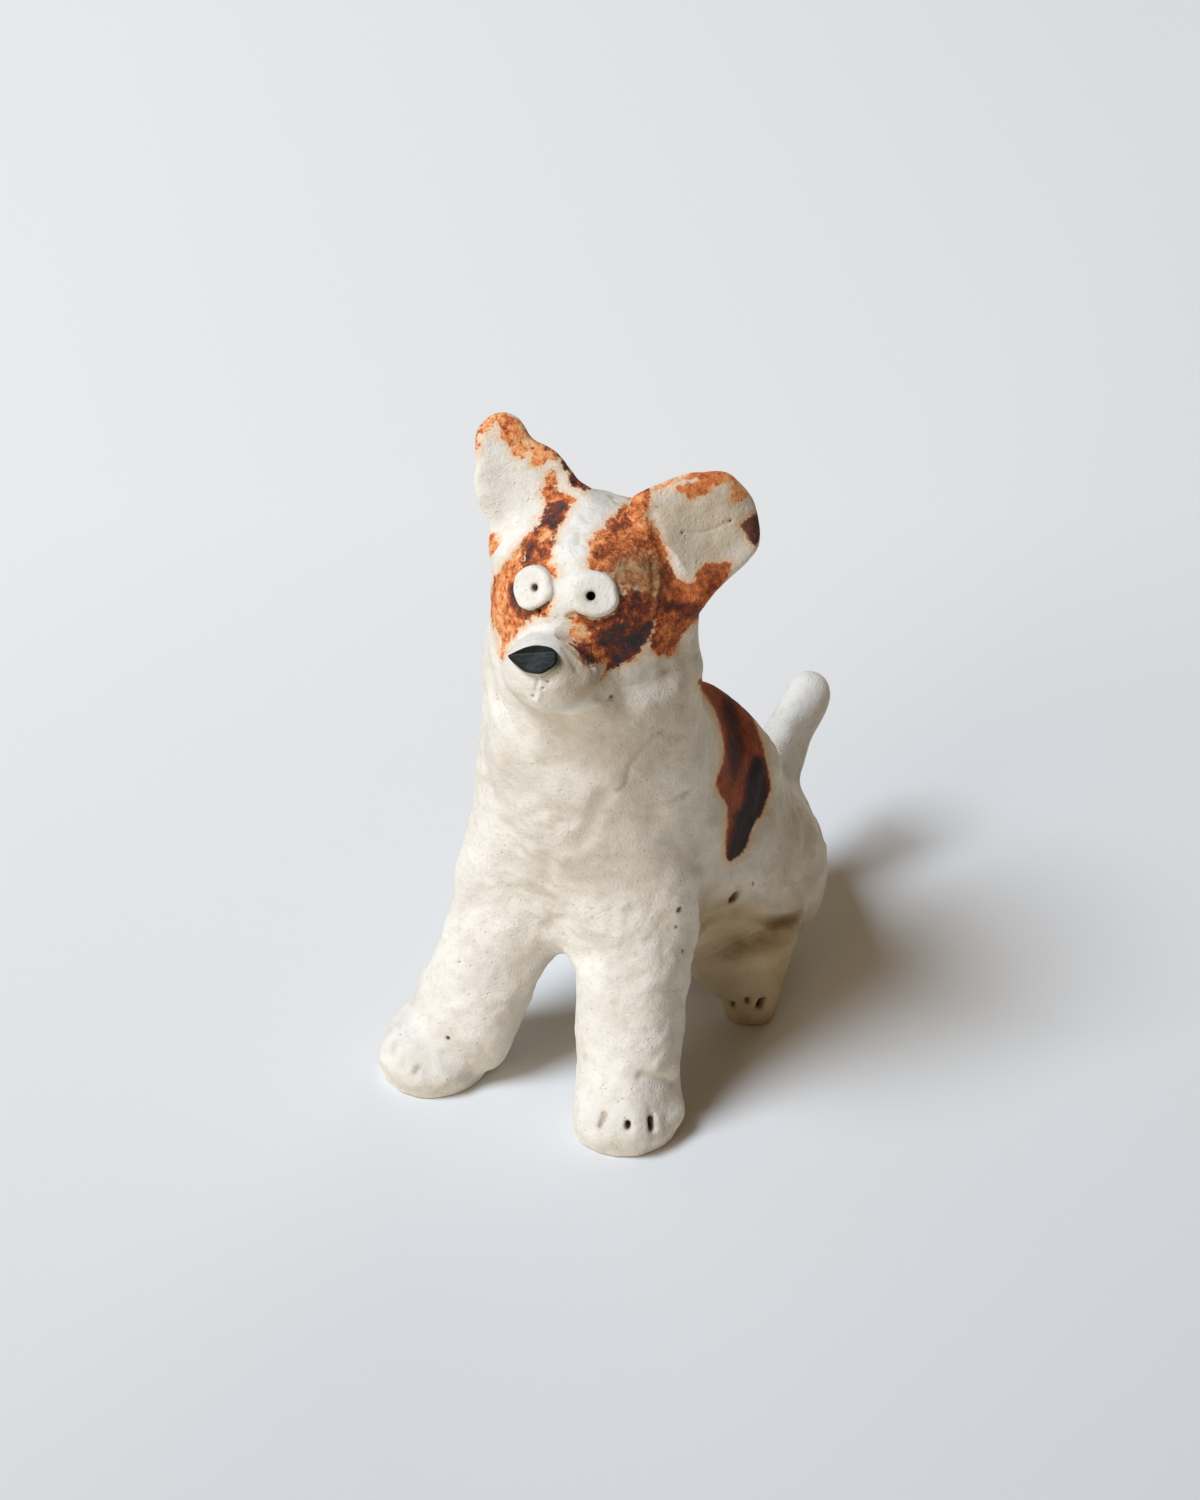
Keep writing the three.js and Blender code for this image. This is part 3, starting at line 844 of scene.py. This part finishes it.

# Places where the clay is painted a dull ochre: a real stain at the temple, grey-tan smears with painted
# shade under the head on the neck, and painted shade on the hind leg, under the thigh, on the rump's edge,
# on the left ear's face and on the muzzle's side, where the clay is turned from the light. For each: the
# pieces, how much, how soft the edge is in millimetres, and the outline as pixels of the photograph.
HIND = ("hind_leg_left", "torso", "haunch_left")
STAINS_AND_PAINTED_SHADE = {
    # Painted shade on the hind leg, which lies under the flank.
    "hind_leg": (HIND, 0.78, 3.0, pixels(
        (690, 908), (705, 898), (724, 893), (742, 895), (762, 904), (785, 908), (804, 900), (812, 935),
        (805, 970), (798, 1010), (786, 1035), (750, 1042), (716, 1030), (695, 990), (684, 955))),
    # Painted shade on the hind leg's side, turned from the light.
    "hind_leg_side": (HIND, 0.9, 6.0, pixels(
        (738, 916), (762, 919), (785, 921), (806, 910), (812, 935), (805, 970), (798, 1010), (775, 1012),
        (755, 990), (742, 955))),
    # Grey-tan smears on the neck, with painted shade where the head shades it.
    "neck": (("torso", "head"), 0.2, 4.0, pixels(
        (545, 705), (600, 692), (650, 668), (690, 650), (704, 700), (694, 760), (640, 772), (580, 760),
        (550, 735))),
    # Painted shade on the rump's edge, turned from the light.
    "rump": (HIND, 0.25, 3.0, pixels(
        (790, 815), (815, 835), (825, 880), (808, 925), (780, 922), (770, 890), (778, 850))),
    # Painted shadow under the thigh's edge.
    "under_the_thigh": (HIND, 0.4, 1.6, pixels((722, 905), (742, 906), (760, 914), (744, 924), (722, 926))),
    # The temple's own ochre stain.
    "temple": (("head",), 0.9, 1.6, pixels(
        (612, 562), (625, 554), (641, 553), (657, 560), (665, 574), (663, 596), (646, 594), (631, 588),
        (620, 586), (611, 575))),
    # Painted shade on the left ear's face, turned from the light.
    "ear_left_face": (("ear_left",), 0.55, 2.5, pixels(
        (655, 500), (690, 498), (720, 492), (748, 503), (748, 540), (722, 562), (700, 565), (690, 577),
        (672, 572), (662, 545), (652, 520))),
    # Painted shade on the muzzle's side, turned from the light.
    "muzzle_side": (("muzzle", "head"), 0.5, 2.0, pixels(
        (562, 640), (572, 652), (590, 668), (604, 682), (596, 700), (576, 702), (560, 690), (562, 665))),
}

# Patches on the sides that the photograph doesn't show: the pieces, how heavy, a middle, and radii along
# x, y and z.
OXIDE_UNSEEN = {
    "saddle_over_the_spine": (("torso",), 0.64, (4.5, 8.0, 44.0), (8.0, 6.0, 9.0)),
    "saddle_dark": (("torso",), 0.88, (5.0, 11.0, 42.0), (2.6, 5.0, 6.0)),
    "ear_right_back": (("ear_right",), 0.5, (-8.0, -11.0, 91.0), (5.0, 6.0, 4.0)),
    "ear_left_back": (("ear_left",), 0.55, (18.0, 1.0, 84.0), (5.0, 5.0, 5.0)),
    "nape": (("head", "ear_left"), 0.55, (8.5, -4.0, 80.0), (3.6, 5.0, 8.0)),
    "rump_right": (("torso", "haunch_right"), 0.6, (-8.0, 13.0, 28.0), (3.0, 6.0, 5.5)),
}


def wander(points):
    """A slow wave through the clay, so that a patch on an unseen side has an uneven outline."""
    x, y, z = points.T
    wave = 0.22 * np.sin(0.8 * z + 1.3) * np.cos(0.6 * x + 0.4)
    return wave + 0.16 * np.sin(1.1 * y + 0.5 * z) + 0.1 * np.sin(1.9 * z - x)


def inside_outline(at, outline):
    """How far inside an outline in the photograph each place lies, in millimetres on the clay."""
    return -loop_distance(at[:, 0], at[:, 1], smooth_loop(outline, 3)) / PIXELS_PER_MM


def oxide(name, points, facing):
    """How far inside the oxide's edge each point lies in millimetres, and how heavy the oxide is there."""
    at = photo_pixels(points)
    depths = []
    for pieces, heavy, middle, radii in OXIDE_UNSEEN.values():
        if name in pieces:
            reach = np.linalg.norm((points - middle) / radii, axis=1) + wander(points)
            inside = (1 - reach) * min(radii)
            depths.append((heavy, np.minimum(inside, -TURN_RATE * (facing - UNSEEN_FROM))))
    for patch, (pieces, heavy, outline) in OXIDE.items():
        if name in pieces:
            inside = np.minimum(inside_outline(at, outline), WORN.get(patch, OXIDE_REACH))
            depths.append((heavy, np.minimum(inside, TURN_RATE * (facing - SEEN_FROM))))
    cover = np.full(len(points), -OXIDE_REACH)
    weight = np.full(len(points), BARE_WEIGHT)
    for heavy, depth in depths:
        cover = np.maximum(cover, depth)
        share = np.clip(0.5 + depth / OXIDE_MEETING, 0, 1)
        weight = weight + (heavy - weight) * share
    return np.clip(cover, -OXIDE_REACH, OXIDE_REACH), weight


def stain_and_shade(name, points, facing):
    """How much ochre stain and painted shade each point gets, from 0 to 1."""
    much = np.zeros(len(points))
    at = photo_pixels(points)
    for pieces, share, soft, outline in STAINS_AND_PAINTED_SHADE.values():
        if name in pieces:
            inside = np.clip(0.5 + inside_outline(at, outline) / soft, 0, 1)
            inside *= np.clip(TURN_RATE * (facing - STAIN_AND_SHADE_FROM), 0, 1)
            much = np.maximum(much, share * inside)
    return much


def hex_colour(text):
    """An sRGB hex colour turned to linear."""
    values = [int(text[i : i + 2], 16) / 255 for i in (1, 3, 5)]
    return tuple(v / 12.92 if v <= 0.04045 else ((v + 0.055) / 1.055) ** 2.4 for v in values) + (1.0,)


def node(tree, kind, settings=None, take=0, **inputs):
    """Adds a node with its settings, and sets or links its inputs: a value, a colour or a node's output.
    An input goes by its name, or by its number after an underscore. Gives back the output asked for."""
    made = tree.nodes.new("ShaderNode" + kind)
    for key, value in (settings or {}).items():
        setattr(made, key, value)
    for key, value in inputs.items():
        socket = made.inputs[int(key[1:])] if key[1:].isdigit() else made.inputs[key.replace("_", " ")]
        if isinstance(value, bpy.types.NodeSocket):
            tree.links.new(value, socket)
        else:
            socket.default_value = value
    return made.outputs[take] if made.outputs else None


def new_material(name):
    """An empty material and its nodes."""
    material = bpy.data.materials.new(name)
    material.use_nodes = True
    tree = material.node_tree
    tree.nodes.clear()
    return material, tree


# Settings that nodes share.
SUBTRACT, ABSOLUTE, LARGER = ({"operation": name} for name in ("SUBTRACT", "ABSOLUTE", "MAXIMUM"))
MULTIPLY, MULTIPLY_ADD = ({"operation": name} for name in ("MULTIPLY", "MULTIPLY_ADD"))
DOT_PRODUCT = {"operation": "DOT_PRODUCT"}
EASED = {"interpolation_type": "SMOOTHSTEP"}
COLOURS = {"data_type": "RGBA"}

# Noise in the stoneware: how far apart its blots are in millimetres, its detail and its roughness.
CLAY_NOISE = {
    "cloud": (7.0, 3.0, 0.55),
    "tan": (2.2, 3.0, 0.6),
    "grain": (0.9, 4.0, 0.65),
    "fine": (0.28, 3.0, 0.6),
    "specked": (3.0, 3.0, 0.55),
    "frayed": (1.6, 5.0, 0.65),
    "frayed_fine": (0.45, 4.0, 0.7),
    "mottle": (0.8, 6.0, 0.75),
    "mottle_wide": (2.6, 3.0, 0.6),
    "vein": (1.7, 5.0, 0.6),
    "fold": (2.4, 4.0, 0.6),
}

# How far apart the dark specks of iron, the dots in the oxide and the clay's pits are, in millimetres.
SPOTS = {"speck": 1.6, "dot": 1.3, "pit": 1.1}

# Bare clay: two off-whites, tan clouds, tan grains, and specks of iron.
CLAY_DULL, CLAY_PALE = "#D6D1CA", "#E2DED8"
CLAY_TAN, CLAY_GRAIN, CLAY_SPECK = "#C9BDA9", "#C4B9A5", "#7A6248"

# Clay under ochre stain and painted shade, and what they make of oxide.
STAIN_AND_SHADE_DULL, STAIN_AND_SHADE_PALE, STAIN_AND_SHADE_ON_OXIDE = "#A0875F", "#B0976E", "#7A5F40"

# Oxide from a pale wash to the heaviest, its dark dots, and the bleed round it on clean clay and on clay
# under stain and painted shade.
OXIDE_TONES = (
    (0.0, "#E4CFAE"), (0.18, "#E3B787"), (0.36, "#DD925C"), (0.5, "#C76F3B"), (0.62, "#9B4F2B"),
    (0.76, "#6B3527"), (0.9, "#47292A"), (1.0, "#2E2427"),
)
OXIDE_DOT, BLEED_CLEAN, BLEED_ON_STAIN_AND_SHADE = "#38231F", "#DDB68A", "#917650"

# Earthy dirt and painted shade in a crevice, at its rim and deep in it.
CREVICE_DIRT_AND_SHADE_RIM, CREVICE_DIRT_AND_SHADE_DEEP = "#8A6A3E", "#35281A"


def bare_clay(tree, told, noise, speck):
    """The clay's colour: off-white, clouded, with tan grains, a few dark specks of iron, and ochre stains
    and painted shade.
    """
    clouded = node(tree, "MapRange", EASED, Value=noise["cloud"], From_Min=0.35, From_Max=0.65)
    clay = node(tree, "Mix", COLOURS, 2, _0=clouded, _6=hex_colour(CLAY_DULL), _7=hex_colour(CLAY_PALE))
    tints = (("tan", 0.5, 0.72, 0.4, CLAY_TAN), ("grain", 0.52, 0.75, 0.45, CLAY_GRAIN))
    for name, low, high, most, tint in tints:
        share = node(tree, "MapRange", EASED, Value=noise[name], From_Min=low, From_Max=high, To_Max=most)
        clay = node(tree, "Mix", COLOURS, 2, _0=share, _6=clay, _7=hex_colour(tint))
    kept = node(tree, "MapRange", EASED, Value=noise["specked"], From_Min=0.5, From_Max=0.62, To_Max=0.6)
    share = node(tree, "Math", MULTIPLY, _0=speck, _1=kept)
    clay = node(tree, "Mix", COLOURS, 2, _0=share, _6=clay, _7=hex_colour(CLAY_SPECK))
    ochre = node(tree, "Mix", COLOURS, 2, _0=clouded, _6=hex_colour(STAIN_AND_SHADE_DULL), _7=hex_colour(STAIN_AND_SHADE_PALE))
    return node(tree, "Mix", COLOURS, 2, _0=told["stain_and_shade"], _6=clay, _7=ochre)


def oxide_tint(tree, told, heavy, dot):
    """The oxide's colour for how heavy it lies, from tan to purple-black, with dots, and dulled by stains
    and painted shade.
    """
    tint = node(tree, "ValToRGB", Fac=heavy)
    stops = tint.node.color_ramp.elements
    for at, _ in OXIDE_TONES[:-2]:
        stops.new(at)
    for stop, (at, tone) in zip(stops, OXIDE_TONES):
        stop.position = at
        stop.color = hex_colour(tone)
    here = node(tree, "MapRange", EASED, Value=dot, From_Min=0.1, From_Max=0.17, To_Min=1, To_Max=0)
    draw = node(tree, "SeparateColor", Color=dot.node.outputs["Color"])
    kept = node(tree, "MapRange", EASED, Value=draw, From_Min=0.7, From_Max=0.75, To_Max=0.75)
    dotted = node(tree, "Math", MULTIPLY, _0=here, _1=kept)
    dulled = node(tree, "Math", MULTIPLY, _0=told["stain_and_shade"], _1=0.6)
    for share, over in ((dotted, OXIDE_DOT), (dulled, STAIN_AND_SHADE_ON_OXIDE)):
        tint = node(tree, "Mix", COLOURS, 2, _0=share, _6=tint, _7=hex_colour(over))
    return tint


def clay_skin(tree, noise, speck, pit, fold):
    """The clay's skin: grain, small pits, and wrinkles where the damp clay was pushed."""
    here = node(tree, "MapRange", EASED, Value=pit, From_Min=0.08, From_Max=0.2, To_Min=1, To_Max=0)
    draw = node(tree, "SeparateColor", take=1, Color=pit.node.outputs["Color"])
    kept = node(tree, "MapRange", EASED, Value=draw, From_Min=0.6, From_Max=0.7)
    pitted = node(tree, "Math", MULTIPLY, _0=here, _1=kept)
    relief = noise["grain"]
    for part, high in ((noise["fine"], 0.5), (speck, -0.25), (pitted, -0.7), (fold, -0.12)):
        relief = node(tree, "Math", MULTIPLY_ADD, _0=part, _1=high, _2=relief)
    return node(tree, "Bump", Strength=0.9, Distance=0.15 * MM, Height=relief)


def stoneware():
    """White stoneware, fired unglazed with iron oxide brushed on: dry, matt, specked, with rusty patches."""
    material, tree = new_material("white_stoneware_with_iron_oxide")
    place = node(tree, "TexCoord", take="Object")
    told = {
        name: node(tree, "Attribute", {"attribute_name": name}, "Fac")
        for name in ("stain_and_shade", "oxide", "heavy", "rough", "crevice_dirt_and_shade")
    }
    noise = {
        name: node(tree, "TexNoise", Vector=place, Scale=1 / (apart * MM), Detail=detail, Roughness=rugged)
        for name, (apart, detail, rugged) in CLAY_NOISE.items()
    }
    spots = {
        name: node(tree, "TexVoronoi", {"feature": "F1"}, "Distance", Vector=place, Scale=1 / (apart * MM))
        for name, apart in SPOTS.items()
    }
    lines = {}
    for name, width in (("vein", 0.03), ("fold", 0.05)):
        off = node(tree, "Math", SUBTRACT, _0=noise[name], _1=0.5)
        off = node(tree, "Math", ABSOLUTE, _0=off)
        lines[name] = node(tree, "MapRange", EASED, Value=off, From_Max=width, To_Min=1, To_Max=0)
    speck = node(
        tree, "MapRange", EASED, Value=spots["speck"], From_Min=0.05, From_Max=0.1, To_Min=1, To_Max=0)

    # The oxide's edge is frayed by these many millimetres, and its weight is mottled and veined.
    frays, mottles, veined = {"frayed": 2.2, "frayed_fine": 1.8}, {"mottle": 1.5, "mottle_wide": 0.8}, 0.13
    edge = -sum(frays.values()) / 2
    for name, width in frays.items():
        edge = node(tree, "Math", MULTIPLY_ADD, _0=noise[name], _1=width, _2=edge)
    depth = node(tree, "Math", MULTIPLY_ADD, _0=edge, _1=told["rough"], _2=told["oxide"])
    mottled = -sum(mottles.values()) / 2
    for value, much in ((lines["vein"], veined), *((noise[name], much) for name, much in mottles.items())):
        mottled = node(tree, "Math", MULTIPLY_ADD, _0=value, _1=much, _2=mottled)
    heavy = node(tree, "Math", MULTIPLY_ADD, _0=mottled, _1=told["rough"], _2=told["heavy"])

    # The oxide bleeds a little into the clay round it, and the crevices are darkened with earthy dirt and
    # painted shade.
    bleeds = [hex_colour(tint) for tint in (BLEED_CLEAN, BLEED_ON_STAIN_AND_SHADE)]
    bleed = node(tree, "Mix", COLOURS, 2, _0=told["stain_and_shade"], _6=bleeds[0], _7=bleeds[1])
    bled = node(tree, "MapRange", EASED, Value=depth, From_Min=-1.1, From_Max=0.1, To_Max=0.7)
    cover = node(tree, "MapRange", EASED, Value=depth, From_Min=-0.12, From_Max=0.22)
    deep = node(tree, "MapRange", EASED, Value=told["crevice_dirt_and_shade"], From_Min=0.35, From_Max=0.95)
    dirt_and_shade = node(tree, "Mix", COLOURS, 2, _0=deep, _6=hex_colour(CREVICE_DIRT_AND_SHADE_RIM), _7=hex_colour(CREVICE_DIRT_AND_SHADE_DEEP))
    tint = oxide_tint(tree, told, heavy, spots["dot"])
    colour = bare_clay(tree, told, noise, speck)
    for share, over in ((bled, bleed), (cover, tint), (told["crevice_dirt_and_shade"], dirt_and_shade)):
        colour = node(tree, "Mix", COLOURS, 2, _0=share, _6=colour, _7=over)

    # The heaviest oxide melted to a faint sheen.
    burnt = node(tree, "MapRange", EASED, Value=heavy, From_Min=0.72, From_Max=0.92)
    for share in (cover, told["rough"]):
        burnt = node(tree, "Math", MULTIPLY, _0=burnt, _1=share)
    sheen = node(tree, "MapRange", EASED, Value=burnt, From_Min=0.4, From_Max=1.0, To_Min=0.85, To_Max=0.5)
    skin = clay_skin(tree, noise, speck, spots["pit"], lines["fold"])
    shader = node(
        tree, "BsdfPrincipled", Base_Color=colour, Roughness=sheen, Normal=skin, IOR=1.5,
        Specular_IOR_Level=0.3)
    node(tree, "OutputMaterial", Surface=shader)
    return material


def nose_glaze():
    """Black glaze, half dulled and clouded: the clay's grain shows through it, and pale clay at its rim."""
    material, tree = new_material("black_gloss_glaze")
    place = node(tree, "TexCoord", take="Object")
    rim = node(tree, "Attribute", {"attribute_name": "rim"}, "Fac")
    grain, cloud = (
        node(tree, "TexNoise", Vector=place, Scale=1 / (apart * MM), Detail=detail)
        for apart, detail in ((0.5, 4.0), (2.0, 2.0))
    )
    clouded = node(tree, "MapRange", Value=cloud, From_Min=0.4, From_Max=0.65)
    thin = node(tree, "MapRange", EASED, Value=rim, From_Min=-0.12, From_Max=0.0)
    colour = hex_colour("#101413")
    for share, over in ((clouded, "#20251F"), (thin, "#B9B3A2")):
        colour = node(tree, "Mix", COLOURS, 2, _0=share, _6=colour, _7=hex_colour(over))
    bump = node(tree, "Bump", Strength=0.6, Distance=0.08 * MM, Height=grain)
    shader = node(
        tree, "BsdfPrincipled", Base_Color=colour, Roughness=0.42, Normal=bump, Specular_IOR_Level=0.12)
    node(tree, "OutputMaterial", Surface=shader)
    return material


# Spacing of each piece's mesh, finer where the photograph shows more.
PITCH_FACE, PITCH_LEG, PITCH_TORSO, PITCH_BODY = 0.2, 0.24, 0.36, 0.3

# The pads and the muzzle are finer than the rest of the face by this factor.
PADS_FINER = 0.75

# Which way a point faces is read this far round it.
FACING_REACH = 0.3


def pitch_of(name):
    """The spacing of a piece's mesh."""
    if name in PADS or name == "muzzle":
        return PADS_FINER * PITCH_FACE
    if name.startswith("ear") or name == "head":
        return PITCH_FACE
    if name.startswith(("foreleg", "hind")):
        return PITCH_LEG
    return PITCH_TORSO if name == "torso" else PITCH_BODY


# How strongly a groove, slit or hole is darkened with dirt and painted shade, and how wide for its radius. A
# mark this deep gets all of it, and a groove wider than the limit is a form of the clay and is not darkened.
DARKENED = ((grooves, 0.55, 1.1), (slits, 1.1, 1.0), (holes, 1.4, 1.1))
DEEP_MARK, WIDEST_CREVICE = 0.6, 0.5

# How far from its middle a groove is looked for, and a slit or hole.
GROOVE_SPAN, TOOL_SPAN = 12, 2.5

# The painted shadow round an eye: how dark, how wide, how far outside the edge, and which way round it is
# darkest, on the side turned from the light.
EYE_SHADOW, EYE_SHADOW_WIDE, EYE_SHADOW_OUT = 0.8, 0.2, 0.1
EYE_SHADOW_MIDDLE, EYE_SHADOW_ACROSS, EYE_SHADOW_UP = 0.4, 0.4, -0.3


def dirt_and_shade_in_crevices(name, points):
    """How dark each point is painted, from 0 to 1: earthy dirt and painted shade deep in a groove, slit or
    hole, and painted shadow near an eye's edge.
    """
    dark = np.zeros(len(points))
    for marks, share, spread in DARKENED:
        for places, out, radius, depth in marks.values():
            if depth <= 0 or (marks is grooves and radius > WIDEST_CREVICE):
                continue
            from_middle = np.linalg.norm(points - places.mean(axis=0), axis=1)
            near = from_middle < (GROOVE_SPAN if marks is grooves else TOOL_SPAN)
            path, at = places, points[near]
            if marks is not grooves:
                way = out.mean(axis=0)
                way /= np.linalg.norm(way)
                path = places[[0, -1]]
                path, at = (p - ((p - places[0]) @ way)[:, None] * way for p in (path, at))
            gap = path_distance(*at.T, path) / (spread * radius)
            shade = share * min(depth / DEEP_MARK, 1) * np.exp(-(gap**2))
            dark[near] = np.maximum(dark[near], np.minimum(shade, 1))
    # Painted shadow just outside each eye disc's edge.
    for eye in () if name in PADS else ("eye_right", "eye_left"):
        place = pad_places[eye]
        near = np.linalg.norm(points - place["middle"], axis=1) < PAD_ROOM
        across, up = ((points[near] - place["middle"]) @ place[way] for way in ("across", "up"))
        outside = np.maximum(loop_distance(across, up, place["loop"]) - EYE_SHADOW_OUT, 0)
        side = np.clip(EYE_SHADOW_MIDDLE + EYE_SHADOW_ACROSS * across + EYE_SHADOW_UP * up, 0, 1)
        shade = EYE_SHADOW * side * np.exp(-((outside / EYE_SHADOW_WIDE) ** 2))
        dark[near] = np.maximum(dark[near], shade)
    return dark


# On the body and the haunches the oxide was brushed on smoothly, and elsewhere dabbed: how rough its
# edge and mottle are, below which height the body counts, and how the rest fades from left to right in
# the photograph.
BRUSHED, BRUSHED_ROUGH, BRUSHED_TOP = ("torso", "haunch_left", "haunch_right"), 0.3, 60
DABBED_AT, DABBED_ROUGH = (645, 680), (1.0, 0.6)


def clay_piece(name, material):
    """One piece of clay, with what its material needs to know at each point of its mesh."""
    points, triangles, quads, surface, low = clay_mesh(name, pitch_of(name))
    mesh = bpy.data.meshes.new(name + "_clay")
    faces = [tuple(int(i) for i in f[::-1]) for f in (*triangles, *quads)]
    mesh.from_pydata((points * MM).tolist(), [], faces)
    mesh.validate()
    mesh.shade_smooth()
    ways = slope(surface, low, pitch_of(name), points, FACING_REACH)
    to_eye = EYE_POINT - points
    to_eye /= np.linalg.norm(to_eye, axis=1, keepdims=True)
    facing = np.einsum("ij,ij->i", ways, to_eye)
    cover, weight = oxide(name, points, facing)
    rough = np.interp(photo_pixels(points)[:, 0], DABBED_AT, DABBED_ROUGH)
    if name in BRUSHED:
        rough = np.where(points[:, 2] < BRUSHED_TOP, BRUSHED_ROUGH, rough)
    values = {
        "oxide": cover,
        "heavy": weight,
        "crevice_dirt_and_shade": dirt_and_shade_in_crevices(name, points),
        "stain_and_shade": stain_and_shade(name, points, facing),
        "rough": rough,
    }
    if name in PADS:
        place = pad_places[name]
        from_middle = points - place["middle"]
        across, up = (from_middle @ place[way] for way in ("across", "up"))
        values["rim"] = loop_distance(across, up, place["loop"])
    for key, value in values.items():
        mesh.attributes.new(key, "FLOAT", "POINT").data.foreach_set("value", value.astype(np.float32))
    mesh.materials.append(material)
    piece = bpy.data.objects.new(name + "_clay", mesh)
    bpy.context.scene.collection.objects.link(piece)
    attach(piece, "root")
    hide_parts(name)
    return piece


clay = stoneware()
glaze = nose_glaze()
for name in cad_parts:
    piece = clay_piece(name, glaze if name == "nose_pad" else clay)


# The pale sheet that the figure sits on, with the light's falloff across it painted into its colour: its
# colour at its far left, far right, near left and near right, darkest at the near right, the colour that it
# throws back on the clay, and in metres half its size and how far the change of colour reaches.
SHEET_PAINTED_FALLOFF = ("#E9E9E8", "#E0DFDF", "#D9D8D9", "#C9CBCE")
SHEET_BOUNCE = "#E0DDD3"
SHEET_HALF = 3
SHEET_DEPTH, SHEET_WIDTH = (-0.09, 0.12), (-0.11, 0.11)

floor_mesh = bpy.data.meshes.new("paper_sheet")
corners = [(x * SHEET_HALF, y * SHEET_HALF, 0) for x, y in ((-1, -1), (1, -1), (1, 1), (-1, 1))]
floor_mesh.from_pydata(corners, [], [(0, 1, 2, 3)])
floor = bpy.data.objects.new("paper_sheet", floor_mesh)
bpy.context.scene.collection.objects.link(floor)


def paper_with_painted_falloff():
    """Matt white paper, whose tint changes slowly towards its corners as a painted falloff of the light."""
    material, tree = new_material("matt_white_paper_painted_falloff")
    place = node(tree, "TexCoord", take="Object")
    shares = []
    for way, (low, high) in (((-TOWARD[0], -TOWARD[1], 0), SHEET_DEPTH), (RIGHTWARD, SHEET_WIDTH)):
        reach = node(tree, "VectorMath", DOT_PRODUCT, "Value", _0=place, _1=Vector(way).normalized())
        shares.append(node(tree, "MapRange", Value=reach, From_Min=low, From_Max=high))
    far, near = (
        node(tree, "Mix", COLOURS, 2, _0=shares[1], _6=hex_colour(left), _7=hex_colour(right))
        for left, right in (SHEET_PAINTED_FALLOFF[:2], SHEET_PAINTED_FALLOFF[2:])
    )
    colour = node(tree, "Mix", COLOURS, 2, _0=shares[0], _6=near, _7=far)
    seen = node(tree, "LightPath", take="Is Camera Ray")
    rays = seen.node.outputs
    for ray in ("Is Glossy Ray", "Is Transmission Ray"):
        seen = node(tree, "Math", LARGER, _0=seen, _1=rays[ray])
    colour = node(tree, "Mix", COLOURS, 2, _0=seen, _6=hex_colour(SHEET_BOUNCE), _7=colour)
    shader = node(tree, "BsdfPrincipled", Base_Color=colour, Roughness=0.9)
    node(tree, "OutputMaterial", Surface=shader)
    return material


floor_mesh.materials.append(paper_with_painted_falloff())

# The lamps, which are a wide window on the left and the white walls in front and behind: the way to
# each, how far it is and how wide in metres, its power in watts and its colour. A little warm light
# comes from all round.
LAMPS = {
    "window": ((-0.28, -0.467, 0.839), 5.0, 2.1, 284.0, "#E7F3FF"),
    "wall_in_front": ((-0.14, -0.97, 0.2), 3.0, 2.0, 38.0, "#FFEBD2"),
    "wall_behind": ((-0.15, 0.9, 0.42), 3.0, 2.0, 14.0, "#FFF4E2"),
}
WORLD_COLOUR, WORLD_STRENGTH = "#FFD08A", 0.12
for name, (way, far, size, power, colour) in LAMPS.items():
    light = bpy.data.lights.new(name, "AREA")
    light.shape = "DISK"
    light.size = size
    light.energy = power
    light.color = hex_colour(colour)[:3]
    lamp = bpy.data.objects.new(name, light)
    way = Vector(way).normalized()
    lamp.location = Vector(AIM * MM) + way * far
    lamp.rotation_euler = way.to_track_quat("Z", "Y").to_euler()
    bpy.context.scene.collection.objects.link(lamp)

world = bpy.data.worlds.new("studio")
world.use_nodes = True
world.node_tree.nodes.clear()
sky = node(world.node_tree, "Background", Color=hex_colour(WORLD_COLOUR), Strength=WORLD_STRENGTH)
node(world.node_tree, "OutputWorld", Surface=sky)

scene = bpy.context.scene
scene.world = world
scene.view_settings.view_transform = "Standard"

# The photograph's camera has a sensor of this height in millimetres, and sees from this many metres on.
SENSOR = 36.0
CLIP_START = 0.01
camera_data = bpy.data.cameras.new("photo_camera")
camera_data.sensor_fit = "VERTICAL"
camera_data.sensor_height = SENSOR
camera_data.lens = FOCAL_PX / PHOTO_HIGH * SENSOR
camera_data.clip_start = CLIP_START
camera = bpy.data.objects.new("photo_camera", camera_data)
turn = Matrix((RIGHTWARD, UPWARD, TOWARD)).transposed()
camera.matrix_world = Matrix.Translation(Vector(EYE_POINT * MM)) @ turn.to_4x4()
scene.collection.objects.link(camera)
scene.camera = camera
